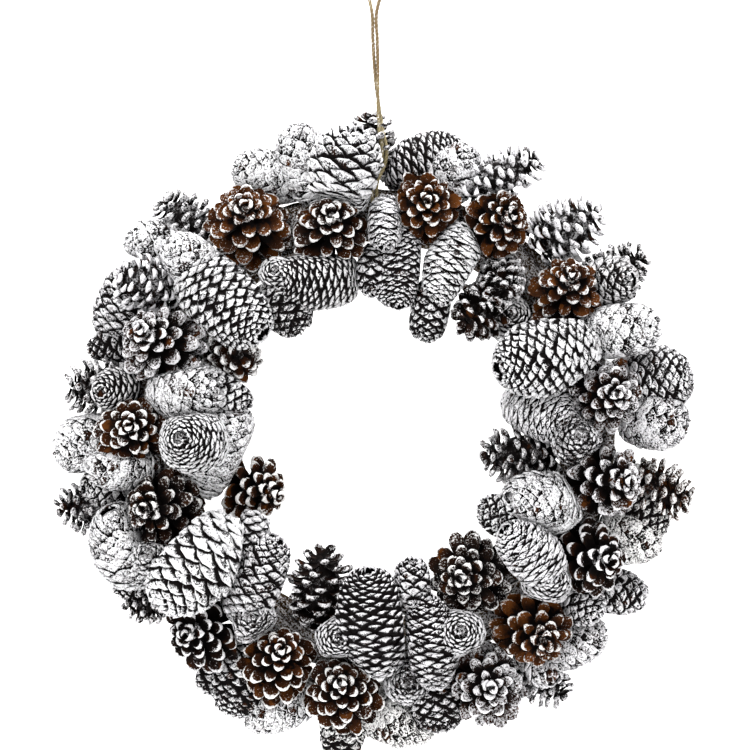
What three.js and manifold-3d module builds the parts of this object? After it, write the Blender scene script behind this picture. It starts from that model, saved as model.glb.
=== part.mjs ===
// Pinecone wreath: frosted cones in three layers round a ring of twisted vine, hung by a loop of twine.
// Millimetres, Z up, the front of the wreath towards -Y. The origin is the inside top of the twine loop,
// where a hook holds it.
import * as THREE from 'three';
import { mergeVertices } from 'three/addons/utils/BufferGeometryUtils.js';
import Module from 'manifold-3d';

const wasm = await Module();
wasm.setup();

// Driving dimensions
const ringRadius = 124;     // from the wreath's centre to the middle of the vine ring
const vineRadius = 16;      // half the thickness of the vine ring
const centreDrop = 272;     // from the hook down to the wreath's centre
const wallDepth = 16;       // how far the wreath's back lies behind the middle of the ring
const seatGap = 0.35;       // clear space between two pieces that touch
const nearby = 7;           // pieces whose outlines come this near get a flat face between them
const twineWidth = 2.2;     // one strand of the hanger
const loopRadius = 7;       // bend of the twine over the hook
const scaleRim = 1.3;       // thickness of an open scale at its rim
const rowPitch = 11;        // a cone longer than most has another row of scales for each of these
const usualLength = 52;     // of a closed cone
const pressDepth = 0.05;    // a pressed scale stops this far short of the face it is pressed against
const studRise = 2.4;       // how far a closed scale stands out of its cone
const slightest = 0.2;      // edges and dents under this are smoothed away
const crumbVolume = 60;     // a flat face may cut this much loose from a node, in mm3

// How each kind of cone is made. scales is [rows, scales in a row]. balls are [place along the cone
// from -0.5 to 0.5, share of its half width], and stand for its outline. bite is how near two cones may
// nest, as a share of the two half widths together. The sizes in the table of cones are of what shows
// between their neighbours, and plump is how many times larger the whole cone is.
const kinds = {
  open: { scales: [4, 5], balls: [[-0.28, 0.72], [-0.04, 1], [0.2, 0.86]], bite: 0.62, plump: 1.08 },
  spiky: { scales: [3, 4], balls: [[-0.28, 0.72], [-0.04, 1], [0.2, 0.86]], bite: 0.62, plump: 1.2 },
  closed: {
    scales: [5, 6], balls: [[-0.27, 0.75], [-0.08, 1], [0.12, 0.92], [0.32, 0.6]], bite: 0.68, plump: 1.18,
  },
  small: { scales: [3, 4], balls: [[-0.2, 0.85], [0, 1], [0.2, 0.8]], bite: 0.62, plump: 1.22 },
};
const clusterBite = 0.6;
const familyBite = 0.58;
const ringBite = 0.62;
const layerDepths = [0, -12, -26];   // the middle of a cone of each layer lies no further back

const looks = {
  brown: { color: 0x6e4426, roughness: 0.7 },
  russet: { color: 0x8a4a22, roughness: 0.7 },
  dark: { color: 0x3b3230, roughness: 0.75 },
  frosted: { color: 0xa39c9c, roughness: 0.85 },
  white: { color: 0xd6d4da, roughness: 0.9 },
  vine: { color: 0x6b5233, roughness: 0.75 },
  jute: { color: 0xa8895a, roughness: 0.9 },
};

// The cones by node. Each is [kind, x, z, width, length, turn, lean, layer]. x and z are its middle from
// the wreath's centre. turn is the way its tip points as seen from the front, 0 to the right and 90 up,
// and lean tips it out towards the viewer. Layer 0 lies at the back, 2 at the front.
const coneNodes = {
  cone_top_edge: ['dark', [['spiky', -3, 163, 30, 36, 90, 10, 0]]],
  cone_top_bold: ['white', [
    ['closed', -17, 149, 31, 40, 70, 20, 1],
    ['small', -10, 132, 13, 18, 90, 75, 1],
  ]],
  cone_top_white: ['white', [
    ['closed', -38, 151, 26, 44, 115, 12, 0],
    ['closed', -57, 145, 26, 44, 165, 10, 0],
  ]],
  cone_top_grey: ['frosted', [
    ['closed', 27, 154, 26, 44, 25, 10, 0],
    ['closed', 52, 141, 23, 32, 60, 10, 0],
    ['spiky', 81, 141, 28, 46, 25, 5, 0],
  ]],
  cone_top_left_open: ['brown', [['open', -24, 115, 45, 40, 90, 65, 2]]],
  cone_top_right_open: ['russet', [['open', 29, 127, 42, 38, 80, 85, 2]]],
  cone_top_inner: ['frosted', [
    ['closed', 13, 94, 28, 44, -90, 20, 1],
    ['small', -4, 90, 16, 26, -90, 20, 0],
  ]],
  cone_top_blue: ['frosted', [['small', 6, 117, 18, 28, -90, 25, 1]]],
  cone_top_inner_white: ['white', [
    ['closed', 43, 94, 25, 44, -112, 15, 1],
    ['small', 31, 68, 19, 30, -100, 10, 0],
  ]],
  cone_top_inner_ringed: ['dark', [
    ['closed', -32, 86, 28, 46, 185, 35, 2],
    ['small', -60, 90, 15, 22, 110, 75, 1],
    ['small', -52, 67, 22, 30, -50, 10, 0],
  ]],

  cone_one_open: ['brown', [['open', 70, 118, 44, 40, 20, 65, 2]]],
  cone_one_bumpy: ['frosted', [['spiky', 110, 115, 34, 42, 30, 20, 1]]],
  cone_two_open: ['brown', [['open', 109, 80, 43, 40, 90, 65, 2]]],
  cone_two_outer: ['dark', [
    ['spiky', 139, 92, 28, 36, 25, 5, 0],
    ['small', 132, 84, 23, 30, 10, 45, 1],
  ]],
  cone_two_inner: ['dark', [
    ['spiky', 71, 84, 26, 28, -90, 60, 1],
    ['spiky', 57, 60, 30, 34, -145, 45, 1],
    ['small', 79, 63, 20, 26, 60, 80, 1],
  ]],
  cone_two_white: ['white', [['closed', 136, 57, 27, 44, 5, 8, 0]]],
  cone_three_diamond: ['white', [['closed', 95, 42, 34, 54, 195, 20, 1]]],
  cone_three_ringed: ['frosted', [
    ['closed', 96, 12, 32, 44, -35, 45, 1],
    ['small', 115, -7, 22, 28, 60, 80, 1],
  ]],
  cone_three_open: ['frosted', [['open', 131, 21, 43, 40, 0, 80, 2]]],
  cone_three_outer: ['frosted', [
    ['small', 160, 28, 32, 38, 10, 15, 0],
    ['closed', 156, -3, 29, 38, -20, 12, 0],
  ]],
  cone_three_inner: ['dark', [['spiky', 83, -14, 32, 42, 180, 15, 1]]],
  cone_four_open: ['frosted', [['open', 132, -28, 46, 42, 5, 62, 2]]],
  cone_four_outer: ['brown', [
    ['spiky', 164, -35, 30, 36, -15, 5, 0],
    ['small', 154, -49, 20, 28, -40, 10, 0],
    ['closed', 143, -66, 25, 38, -10, 5, 0],
  ]],
  cone_four_inner: ['white', [
    ['closed', 93, -42, 32, 42, 170, 35, 1],
    ['small', 67, -54, 18, 30, 150, 10, 0],
  ]],
  cone_four_lilac: ['frosted', [
    ['closed', 87, -68, 26, 40, 135, 20, 1],
    ['small', 97, -83, 22, 28, 100, 75, 1],
  ]],
  cone_five_open: ['dark', [['open', 123, -71, 47, 42, 0, 62, 2]]],
  cone_five_outer: ['frosted', [
    ['closed', 137, -93, 21, 36, -10, 5, 0],
    ['small', 116, -97, 20, 28, -45, 35, 0],
  ]],

  cone_five_inner_open: ['brown', [['open', 52, -82, 45, 40, 170, 75, 2]]],
  cone_six_striped: ['frosted', [
    ['closed', 31, -118, 29, 48, 95, 15, 1],
    ['small', 21, -87, 18, 28, 90, 10, 0],
    ['small', 52, -112, 22, 28, 90, 80, 1],
  ]],
  cone_five_brown_open: ['russet', [['open', 91, -113, 47, 42, -45, 72, 2]]],
  cone_five_edge: ['frosted', [
    ['closed', 113, -122, 25, 38, 20, 5, 0],
    ['small', 83, -140, 17, 24, -45, 40, 1],
    ['spiky', 95, -143, 27, 36, -40, 5, 0],
  ]],
  cone_six_white_open: ['frosted', [['open', 63, -143, 46, 42, 60, 82, 2]]],
  cone_six_edge: ['frosted', [
    ['small', 35, -151, 27, 36, -80, 15, 0],
    ['small', 15, -143, 21, 26, 90, 80, 1],
  ]],
  cone_six_great: ['frosted', [
    ['closed', -2, -107, 34, 57, 95, 20, 1],
    ['small', -27, -117, 22, 28, 90, 80, 1],
  ]],
  cone_six_comb: ['dark', [['spiky', -30, -89, 34, 44, 90, 20, 1]]],
  cone_six_open: ['brown', [['open', -19, -145, 44, 40, 90, 70, 2]]],
  cone_six_lowest: ['brown', [
    ['closed', 12, -165, 28, 42, -20, 8, 0],
    ['small', -16, -161, 28, 32, -80, 25, 0],
    ['small', -19, -176, 19, 26, -95, 5, 0],
  ]],

  cone_seven_edge: ['white', [
    ['closed', -54, -158, 25, 42, 205, 5, 0],
    ['small', -75, -142, 29, 40, -110, 10, 0],
    ['small', -91, -140, 16, 24, -130, 10, 0],
  ]],
  cone_seven_open: ['russet', [['open', -54, -128, 43, 40, 75, 65, 2]]],
  cone_seven_inner: ['frosted', [
    ['closed', -67, -83, 29, 48, 65, 15, 1],
    ['small', -69, -106, 20, 26, 90, 70, 1],
    ['small', -77, -54, 17, 26, -100, 20, 0],
  ]],
  cone_eight_open: ['dark', [['open', -99, -112, 44, 40, 180, 70, 2]]],
  cone_eight_great: ['white', [['closed', -98, -74, 38, 56, 225, 15, 1]]],
  cone_eight_edge: ['dark', [
    ['small', -137, -85, 20, 26, 205, 10, 0],
    ['spiky', -126, -101, 25, 34, 190, 5, 0],
  ]],
  cone_nine_open: ['brown', [['open', -122, -43, 46, 42, 180, 70, 2]]],
  cone_nine_edge: ['dark', [
    ['spiky', -164, -44, 28, 36, 185, 10, 0],
    ['small', -151, -32, 25, 32, 180, 35, 0],
  ]],
  cone_eight_ringed: ['white', [
    ['closed', -141, -65, 32, 46, 110, 30, 0],
    ['small', -126, -71, 16, 24, 90, 70, 1],
  ]],

  cone_nine_upper_open: ['brown', [['open', -136, 0, 43, 40, 90, 80, 2]]],
  cone_nine_white: ['white', [
    ['closed', -160, -7, 32, 44, 195, 5, 0],
    ['small', -143, -20, 22, 34, 180, 10, 0],
  ]],
  cone_nine_inner: ['white', [
    ['closed', -91, -10, 32, 52, 62, 12, 0],
    ['small', -101, -5, 28, 38, 160, 75, 1],
  ]],
  cone_nine_inner_open: ['russet', [['open', -66, -34, 38, 38, -10, 45, 1]]],
  cone_ten_white: ['white', [
    ['closed', -106, 22, 29, 40, 10, 20, 1],
    ['small', -87, 23, 20, 32, -30, 10, 1],
  ]],
  cone_ten_small_open: ['brown', [['spiky', -82, 43, 31, 32, 0, 65, 1]]],
  cone_ten_diamond: ['white', [
    ['closed', -84, 73, 35, 54, -42, 20, 1],
    ['closed', -101, 94, 24, 38, 140, 15, 0],
  ]],
  cone_ten_open: ['frosted', [['open', -124, 51, 45, 42, 135, 65, 2]]],
  cone_ten_outer: ['frosted', [
    ['closed', -144, 73, 26, 42, 70, 5, 0],
    ['spiky', -129, 83, 32, 36, 165, 30, 1],
    ['small', -149, 48, 17, 28, 190, 10, 0],
  ]],
  cone_ten_edge: ['dark', [
    ['spiky', -158, 24, 33, 38, 175, 10, 0],
    ['small', -147, 23, 20, 28, 180, 60, 0],
  ]],
  cone_eleven_white: ['white', [
    ['closed', -121, 105, 27, 42, 165, 10, 0],
    ['spiky', -104, 128, 29, 38, 140, 5, 0],
  ]],
  cone_eleven_open: ['brown', [['open', -72, 119, 48, 44, 90, 70, 2]]],
};

// The middle of the two twine strands, [x, height above the wreath's centre], from the ring to the loop.
const twineRoute = [
  [0, 141], [4, 151], [5.5, 160], [3.5, 171], [2.3, 183], [1.2, 197], [0.6, 211], [0, 226], [-0.4, 240],
];
const strandSpacing = twineWidth + 0.35;
const strandTurn = Math.PI;     // how far the strands twist round each other on the way
const wrapTurn = 1.9;           // radians that each strand goes round the ring
const wrapRadius = vineRadius + 2 * seatGap + twineWidth / 2;

const centre = new THREE.Vector3(0, 0, -centreDrop);
const full = 2 * Math.PI;

function seededRandom(seed) {
  let state = seed;
  return () => {
    state = (state + 0x6d2b79f5) | 0;
    let t = Math.imul(state ^ (state >>> 15), 1 | state);
    t = (t + Math.imul(t ^ (t >>> 7), 61 | t)) ^ t;
    return ((t ^ (t >>> 14)) >>> 0) / 4294967296;
  };
}

function readCone([kind, x, z, shownWidth, shownLength, turn, lean, layer], node) {
  const width = kinds[kind].plump * shownWidth;
  const length = kinds[kind].plump * shownLength;
  const around = THREE.MathUtils.degToRad(turn);
  const out = THREE.MathUtils.degToRad(lean);
  const direction = new THREE.Vector3(
    Math.cos(around) * Math.cos(out), -Math.sin(out), Math.sin(around) * Math.cos(out),
  );
  const balls = kinds[kind].balls.map(([place, share]) => {
    const radius = (share * width) / 2;
    const reach = Math.max(0, length / 2 - radius);
    return { along: THREE.MathUtils.clamp(place * length, -reach, reach), radius };
  });
  const isOpen = kind === 'open' || kind === 'spiky';
  return { kind, isOpen, node, width, length, layer, direction, balls, middle: new THREE.Vector3(x, 0, z) };
}

const ballCentre = (cone, ball) => cone.middle.clone().addScaledVector(cone.direction, ball.along);
const axisEnds = (cone) => [
  ballCentre(cone, cone.balls[0]), ballCentre(cone, cone.balls[cone.balls.length - 1]),
];

// How far back a cone may lie before it meets the wall.
const depthAtWall = (cone) => Math.min(
  ...cone.balls.map((ball) => wallDepth - ball.radius - cone.direction.y * ball.along),
);

// Lays a cone down from the front until it rests on the ring, on cones that are there already or flat
// against the wall.
function layDown(cone, placed) {
  let depth = Math.min(depthAtWall(cone), layerDepths[cone.layer]);
  for (const ball of cone.balls) {
    const at = ballCentre(cone, ball);
    const besideRing = Math.abs(Math.hypot(at.x, at.z) - ringRadius);
    const ringReach = vineRadius + ringBite * ball.radius;
    if (besideRing < ringReach) {
      depth = Math.min(depth, -Math.sqrt(ringReach ** 2 - besideRing ** 2) - at.y);
    }
    for (const other of placed) {
      if (other.node === cone.node && other.layer >= cone.layer) continue;
      const bite = other.node === cone.node
        ? clusterBite : Math.min(kinds[cone.kind].bite, kinds[other.kind].bite);
      for (const otherBall of other.balls) {
        const there = ballCentre(other, otherBall);
        const beside = Math.hypot(there.x - at.x, there.z - at.z);
        const reach = bite * (ball.radius + otherBall.radius);
        if (beside < reach) depth = Math.min(depth, there.y - Math.sqrt(reach ** 2 - beside ** 2) - at.y);
      }
    }
  }
  cone.middle.y = depth;
}

// Draws a cone in, sideways or forwards, until it meets the nearest of the cones it is joined to.
function drawIn(cone, placed) {
  const family = placed.filter((other) => other.node === cone.node);
  if (!family.length) return;
  const laidDepth = cone.middle.y;
  for (let round = 0; round < 40; round += 1) {
    const meetings = family.map((other) => {
      const { onA, onB, s, t } = nearestPoints(...axisEnds(cone), ...axisEnds(other));
      const reach = familyBite * (radiusAt(cone, s) + radiusAt(other, t));
      return { towards: onB.sub(onA), reach };
    });
    meetings.sort((a, b) => (a.towards.length() - a.reach) - (b.towards.length() - b.reach));
    const { towards, reach } = meetings[0];
    if (towards.length() <= reach) return;
    const beside = Math.hypot(towards.x, towards.z);
    const sideways = Math.max(0, 1 - reach / beside) / 2;
    cone.middle.add(new THREE.Vector3(towards.x * sideways, towards.y / 4, towards.z * sideways));
    cone.middle.y = Math.min(cone.middle.y, laidDepth);
  }
}

const cones = Object.entries(coneNodes)
  .flatMap(([node, [, members]]) => members.map((member) => readCone(member, node)));
const layerOf = Object.fromEntries([...cones].reverse().map((cone) => [cone.node, cone.layer]));
const placedCones = [];
for (const cone of [...cones].sort((a, b) => layerOf[a.node] - layerOf[b.node])) {
  layDown(cone, placedCones);
  drawIn(cone, placedCones);
  placedCones.push(cone);
}
for (const cone of cones) cone.middle.add(centre);

// Closed mesh of a cone along Z: rings of scale roots, each half a step round from the last, and one
// scale raised out of each diamond between them. halves holds the faces of the cone twice, each time with
// the scales of every other row alone: those never cross each other.
function scaledCone(rows, around, rootOf, shapeScale) {
  const points = [];
  const faces = [];
  const halves = [[], []];
  const step = full / around;
  const add = (radius, angle, height) => points.push(
    [radius * Math.cos(angle), radius * Math.sin(angle), height],
  ) - 1;
  const rings = [];
  for (let j = 0; j <= rows + 1; j += 1) {
    const { radius, height } = rootOf(j);
    const single = radius === 0 ? add(0, 0, height) : -1;
    rings.push(Array.from({ length: around }, (_, i) => (
      single >= 0 ? single : add(radius, (i + (j % 2) / 2) * step, height)
    )));
  }
  for (let k = 1; k <= rows; k += 1) {
    for (let i = 0; i < around; i += 1) {
      const over = (i + (k % 2)) % around;
      const root = {
        left: rings[k][i],
        right: rings[k][(i + 1) % around],
        below: rings[k - 1][over],
        above: rings[k + 1][over],
      };
      const scale = shapeScale({ k, angle: (i + (k % 2) / 2 + 0.5) * step, step, root, add });
      const bare = [[root.left, root.below, root.above], [root.below, root.right, root.above]];
      faces.push(...scale);
      halves[k % 2].push(...scale);
      halves[(k + 1) % 2].push(...bare);
    }
  }
  const geometry = new THREE.BufferGeometry();
  geometry.setAttribute('position', new THREE.Float32BufferAttribute(points.flat(), 3));
  geometry.setIndex(faces.flat());
  geometry.userData.halves = halves;
  return geometry;
}

// A cone that has opened: scales that stand out like petals, flat at the base and upright at the tip.
function openCone(width, length, [rows, around], random) {
  const half = width / 2;
  const rootOf = (j) => {
    if (j === 0) return { radius: 0, height: -0.46 * length };
    if (j > rows) return { radius: 0, height: 0.34 * length };
    const u = j / (rows + 1);
    return { radius: half * (0.44 - 0.3 * Math.abs(u - 0.4)), height: length * (0.78 * u - 0.42) };
  };
  return scaledCone(rows, around, rootOf, ({ k, angle, step, root, add }) => {
    const u = (k - 0.5) / rows;
    const reach = half * (1 - 0.62 * Math.abs(u - 0.4) ** 1.35) * (0.94 + 0.08 * random());
    const rise = length * (0.92 * u - 0.4 + 0.03 * (random() - 0.5));
    const rootAt = rootOf(k);
    const slope = new THREE.Vector2(reach - rootAt.radius, rise - rootAt.height).normalize();
    const side = new THREE.Vector2(-slope.y, slope.x).multiplyScalar(scaleRim / 2);
    const spread = 0.42 * step;
    const corner = reach * 0.94;
    const left = add(corner, angle - spread, rise - 0.02 * length);
    const right = add(corner, angle + spread, rise - 0.02 * length);
    const under = add(reach - side.x, angle, rise - side.y);
    const top = k === 1 ? under : add(reach + side.x, angle, rise + side.y);
    return [
      [root.left, root.below, under], [root.left, under, left],
      [root.below, root.right, right], [root.below, right, under],
      [root.right, root.above, top], [root.right, top, right],
      [root.above, root.left, left], [root.above, left, top],
      ...(top === under ? [] : [[left, under, top], [under, right, top]]),
    ];
  });
}

// A cone that is still shut: scales that lie on it as studs, steep towards the tip.
function closedCone(width, length, [rows, around], random) {
  const half = width / 2;
  const outline = (u) => Math.sin(Math.PI * u ** 0.82) ** 0.62;
  const rise = Math.min(studRise, 0.2 * half);
  const rootOf = (j) => {
    const u = j / (rows + 1);
    return { radius: j === 0 || j > rows ? 0 : (half - rise) * outline(u), height: length * (u - 0.5) };
  };
  return scaledCone(rows, around, rootOf, ({ k, angle, root, add }) => {
    const u = (k + 0.5) / (rows + 1);
    const reach = (half - rise) * outline(u) + rise * (0.85 + 0.3 * random());
    const tip = add(reach, angle, length * (u - 0.5));
    return [
      [root.left, root.below, tip], [root.below, root.right, tip],
      [root.right, root.above, tip], [root.above, root.left, tip],
    ];
  });
}

function toSolid(geometry) {
  geometry.deleteAttribute('normal');
  geometry.deleteAttribute('uv');
  const merged = mergeVertices(geometry, 1e-4);
  return new wasm.Manifold(new wasm.Mesh({
    numProp: 3,
    vertProperties: new Float32Array(merged.attributes.position.array),
    triVerts: new Uint32Array(merged.index.array),
  }));
}

function toGeometry(solid) {
  const { vertProperties, triVerts } = solid.getMesh();
  const geometry = new THREE.BufferGeometry();
  geometry.setAttribute('position', new THREE.BufferAttribute(vertProperties, 3));
  geometry.setIndex(new THREE.BufferAttribute(triVerts, 1));
  return geometry;
}

// Keeps what lies on the side of the plane that away points to.
const keepSide = (solid, point, away) => solid.trimByPlane(away.toArray(), away.dot(point));

// The nearest points of two straight lines between end points.
function nearestPoints(a0, a1, b0, b1) {
  const alongA = a1.clone().sub(a0);
  const alongB = b1.clone().sub(b0);
  const between = a0.clone().sub(b0);
  const aa = alongA.lengthSq();
  const bb = alongB.lengthSq();
  const ab = alongA.dot(alongB);
  const clamp01 = (value) => THREE.MathUtils.clamp(value, 0, 1);
  const spread = aa * bb - ab * ab;
  let s = spread > 1e-6 * aa * bb
    ? clamp01((ab * alongB.dot(between) - bb * alongA.dot(between)) / spread) : 0.5;
  const t = bb > 0 ? clamp01((ab * s + alongB.dot(between)) / bb) : 0;
  if (aa > 0) s = clamp01((ab * t - alongA.dot(between)) / aa);
  return { onA: a0.clone().addScaledVector(alongA, s), onB: b0.clone().addScaledVector(alongB, t), s, t };
}

function radiusAt(cone, share) {
  const { balls } = cone;
  const first = balls[0].along;
  const along = first + share * (balls[balls.length - 1].along - first);
  for (let i = 1; i < balls.length; i += 1) {
    const span = balls[i].along - balls[i - 1].along;
    if (along <= balls[i].along && span > 0) {
      const part = (along - balls[i - 1].along) / span;
      return THREE.MathUtils.lerp(balls[i - 1].radius, balls[i].radius, part);
    }
  }
  return balls[Math.floor(balls.length / 2)].radius;
}

// How far a cone's scales would reach past a flat face. It is below zero where they stop short of it.
function reachPast(cone, face) {
  const { position } = cone.geometry.attributes;
  const point = new THREE.Vector3();
  let past = -Infinity;
  for (let i = 0; i < position.count; i += 1) {
    point.fromBufferAttribute(position, i).sub(face.point);
    past = Math.max(past, -point.dot(face.away));
  }
  return past;
}

// The flat faces of two cones that lie against each other. Where only one of them reaches the place
// between the two, the faces move towards the other as far as there is room.
function facesBetween(cone, other) {
  const { onA, onB, s, t } = nearestPoints(...axisEnds(cone), ...axisEnds(other));
  const own = radiusAt(cone, s);
  const theirs = radiusAt(other, t);
  const towards = onB.clone().sub(onA);
  const distance = towards.length();
  if (distance > own + theirs + nearby) return [];
  towards.normalize();
  const shared = onA.clone().addScaledVector(towards, (distance * own) / (own + theirs));
  const beyond = (gap) => shared.clone().addScaledVector(towards, gap);
  const face = { point: beyond(-seatGap / 2), away: towards.clone().negate() };
  const otherFace = { point: beyond(seatGap / 2), away: towards };
  const past = reachPast(cone, face);
  const otherPast = reachPast(other, otherFace);
  const give = past > 0 ? Math.min(past, Math.max(0, -otherPast)) : -Math.min(otherPast, -past);
  if (past > 0 || otherPast > 0) {
    face.point.addScaledVector(towards, give);
    otherFace.point.addScaledVector(towards, give);
  }
  return [face, otherFace];
}

// The flat face where a cone sits on the ring. It stands off a little more inside the ring, which curves
// towards the cone there, and over the twine.
function faceOnRing(cone) {
  let best = null;
  for (const ball of cone.balls) {
    const at = ballCentre(cone, ball);
    const fromCentre = at.clone().sub(centre).setY(0).normalize();
    const onRing = centre.clone().addScaledVector(fromCentre, ringRadius);
    const away = at.clone().sub(onRing);
    const depth = ball.radius + vineRadius - away.length();
    if (!best || depth > best.depth) best = { depth, onRing, away: away.normalize(), fromCentre };
  }
  if (best.depth < -nearby) return null;
  const inward = Math.max(0, -best.away.dot(best.fromCentre));
  const bulge = (inward * (cone.length / 2) ** 2) / (2 * ringRadius);
  const atTwine = cone.middle.z > centre.z && Math.abs(cone.middle.x) < cone.width / 2 + 2 * strandSpacing;
  const standOff = vineRadius + seatGap + bulge + (atTwine ? twineWidth + seatGap : 0);
  return { point: best.onRing.addScaledVector(best.away, standOff), away: best.away };
}

// The twine leaves the front of the ring and runs straight to the hook, a little sideways on the way.
const twineDepth = (height) => (
  (-wrapRadius * (centreDrop - height)) / (centreDrop - ringRadius)
);
const twineMiddle = twineRoute.map(
  ([x, height]) => new THREE.Vector3(x, twineDepth(height), height - centreDrop),
);

function facesAtTwine(cone) {
  const pairRadius = strandSpacing / 2 + twineWidth / 2 + seatGap;
  const lowest = new THREE.Vector3(0, twineDepth(ringRadius), ringRadius - centreDrop);
  const stops = [lowest, ...twineMiddle];
  const faces = [];
  for (let i = 1; i < stops.length; i += 1) {
    const { onA, onB, s } = nearestPoints(...axisEnds(cone), stops[i - 1], stops[i]);
    const away = onA.clone().sub(onB);
    if (away.length() < radiusAt(cone, s) + pairRadius + nearby) {
      away.normalize();
      faces.push({ point: onB.clone().addScaledVector(away, pairRadius), away });
    }
  }
  return faces;
}

// Draws the scales of a shut cone in towards its axis until none stands beyond a flat face.
function pressFlat(geometry, cone, faces) {
  const [from, to] = axisEnds(cone);
  const axis = new THREE.Line3(from, to);
  const { position } = geometry.attributes;
  const onAxis = new THREE.Vector3();
  const point = new THREE.Vector3();
  for (let i = 0; i < position.count; i += 1) {
    point.fromBufferAttribute(position, i);
    axis.closestPointToPoint(point, true, onAxis);
    const out = point.clone().sub(onAxis);
    for (const face of faces) {
      const room = onAxis.clone().sub(face.point).dot(face.away);
      const past = room + out.dot(face.away);
      if (past < pressDepth && room > 2 * pressDepth) {
        out.multiplyScalar((room - pressDepth) / (room - past));
      }
    }
    position.setXYZ(i, ...onAxis.add(out).toArray());
  }
}

function shapeCone(cone, seed) {
  const random = seededRandom(seed);
  const [rows, around] = kinds[cone.kind].scales;
  const extraRows = Math.max(0, Math.round((cone.length - usualLength) / rowPitch));
  const build = cone.isOpen ? openCone : closedCone;
  const geometry = build(cone.width, cone.length, [rows + extraRows, around], random);
  const upright = new THREE.Vector3(0, 0, 1);
  const pose = new THREE.Quaternion().setFromUnitVectors(upright, cone.direction);
  pose.multiply(new THREE.Quaternion().setFromAxisAngle(upright, full * random()));
  geometry.applyQuaternion(pose);
  geometry.translate(...cone.middle.toArray());
  return geometry;
}

cones.forEach((cone, i) => { cone.geometry = shapeCone(cone, i + 1); });
for (const cone of cones) cone.faces = [faceOnRing(cone), ...facesAtTwine(cone)].filter(Boolean);
cones.forEach((cone, i) => {
  for (const other of cones.slice(i + 1)) {
    const [face, otherFace] = other.node === cone.node ? [] : facesBetween(cone, other);
    if (face) {
      cone.faces.push(face);
      other.faces.push(otherFace);
    }
  }
});

// The scales of an open cone that cross each other are joined by adding its two halves.
function wholeSolid(cone) {
  const geometry = cone.geometry.clone();
  if (!cone.isOpen) {
    pressFlat(geometry, cone, cone.faces);
    return toSolid(geometry);
  }
  const [odd, even] = geometry.userData.halves
    .map((faces) => toSolid(geometry.clone().setIndex(faces.flat())));
  return odd.add(even);
}

const coneSolid = (cone) => (
  cone.faces.reduce((solid, face) => keepSide(solid, face.point, face.away), wholeSolid(cone))
);

// A node's cones grown into one body. Crumbs that a flat face leaves behind are dropped.
function coneCluster(node) {
  const members = cones.filter((cone) => cone.node === node);
  const joined = members
    .map((cone) => coneSolid(cone))
    .reduce((whole, solid) => whole.add(solid));
  const bodies = joined.simplify(slightest).decompose().sort((a, b) => b.volume() - a.volume());
  const rest = bodies.slice(1).reduce((sum, body) => sum + body.volume(), 0);
  if (rest > crumbVolume) throw new Error(`${node} falls apart: ${rest.toFixed(0)} mm3 is loose`);
  return toGeometry(bodies[0]);
}

// Twisted canes as one ring: four ridges that wind round it.
function vineRing() {
  const steps = 36;
  const sides = 8;
  const windings = 9;
  const points = [];
  const faces = [];
  for (let i = 0; i < steps; i += 1) {
    const around = (full * i) / steps;
    for (let j = 0; j < sides; j += 1) {
      const turn = (full * j) / sides + (windings / 4) * around;
      const radius = j % 2 ? 0.8 * vineRadius : vineRadius;
      const fromCentre = ringRadius + radius * Math.cos(turn);
      points.push([fromCentre * Math.cos(around), radius * Math.sin(turn), fromCentre * Math.sin(around)]);
    }
  }
  // After a whole circle the ridges have wound on by a number of corners, where the ends meet.
  const shift = Math.round((windings / 4) * sides) % sides;
  for (let i = 0; i < steps; i += 1) {
    for (let j = 0; j < sides; j += 1) {
      const last = i === steps - 1;
      const here = (side) => i * sides + (side % sides);
      const next = (side) => (last ? (side + shift) % sides : (i + 1) * sides + (side % sides));
      faces.push([here(j), here(j + 1), next(j)], [here(j + 1), next(j + 1), next(j)]);
    }
  }
  const geometry = new THREE.BufferGeometry();
  geometry.setAttribute('position', new THREE.Float32BufferAttribute(points.flat(), 3));
  geometry.setIndex(faces.flat());
  geometry.translate(...centre.toArray());
  return geometry;
}

// One strand: round the ring from behind, up the front and up to the loop. side is -1 or 1.
function strandPoints(side) {
  const points = [];
  for (let turn = -wrapTurn; turn < 0.02; turn += wrapTurn / 5) {
    points.push(new THREE.Vector3(
      (side * strandSpacing) / 2,
      -wrapRadius * Math.cos(turn),
      ringRadius - centreDrop + wrapRadius * Math.sin(turn),
    ));
  }
  twineMiddle.forEach((middle, i) => {
    const twist = strandTurn * THREE.MathUtils.smoothstep(i, 1, twineMiddle.length - 1);
    const offset = new THREE.Vector3(Math.cos(twist), Math.sin(twist), 0);
    points.push(middle.clone().addScaledVector(offset, (side * strandSpacing) / 2));
  });
  return points;
}

function juteHanger() {
  const loop = [];
  const loopMiddle = twineWidth / 2 - loopRadius;
  for (let turn = -0.15; turn < Math.PI + 0.2; turn += (Math.PI + 0.3) / 6) {
    loop.push(new THREE.Vector3(-loopRadius * Math.cos(turn), 0, loopMiddle + loopRadius * Math.sin(turn)));
  }
  const path = new THREE.CatmullRomCurve3([...strandPoints(1), ...loop, ...strandPoints(-1).reverse()]);
  const sides = 8;
  const corners = Array.from({ length: sides }, (_, i) => new THREE.Vector2(
    (twineWidth / 2) * Math.cos((full * i) / sides), (twineWidth / 2) * Math.sin((full * i) / sides),
  ));
  const halfSteps = Math.round(path.getLength() / (7 * twineWidth));   // so that a step ends at the hook
  const steps = 2 * halfSteps;
  const sweep = { steps, extrudePath: path, bevelEnabled: false };
  return new THREE.ExtrudeGeometry(new THREE.Shape(corners), sweep);
}

const wreath = new THREE.Group();

function addPiece(name, geometry, look) {
  const material = new THREE.MeshStandardMaterial({ ...looks[look], metalness: 0, flatShading: true });
  const mesh = new THREE.Mesh(geometry, material);
  mesh.name = name;
  wreath.add(mesh);
}

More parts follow.
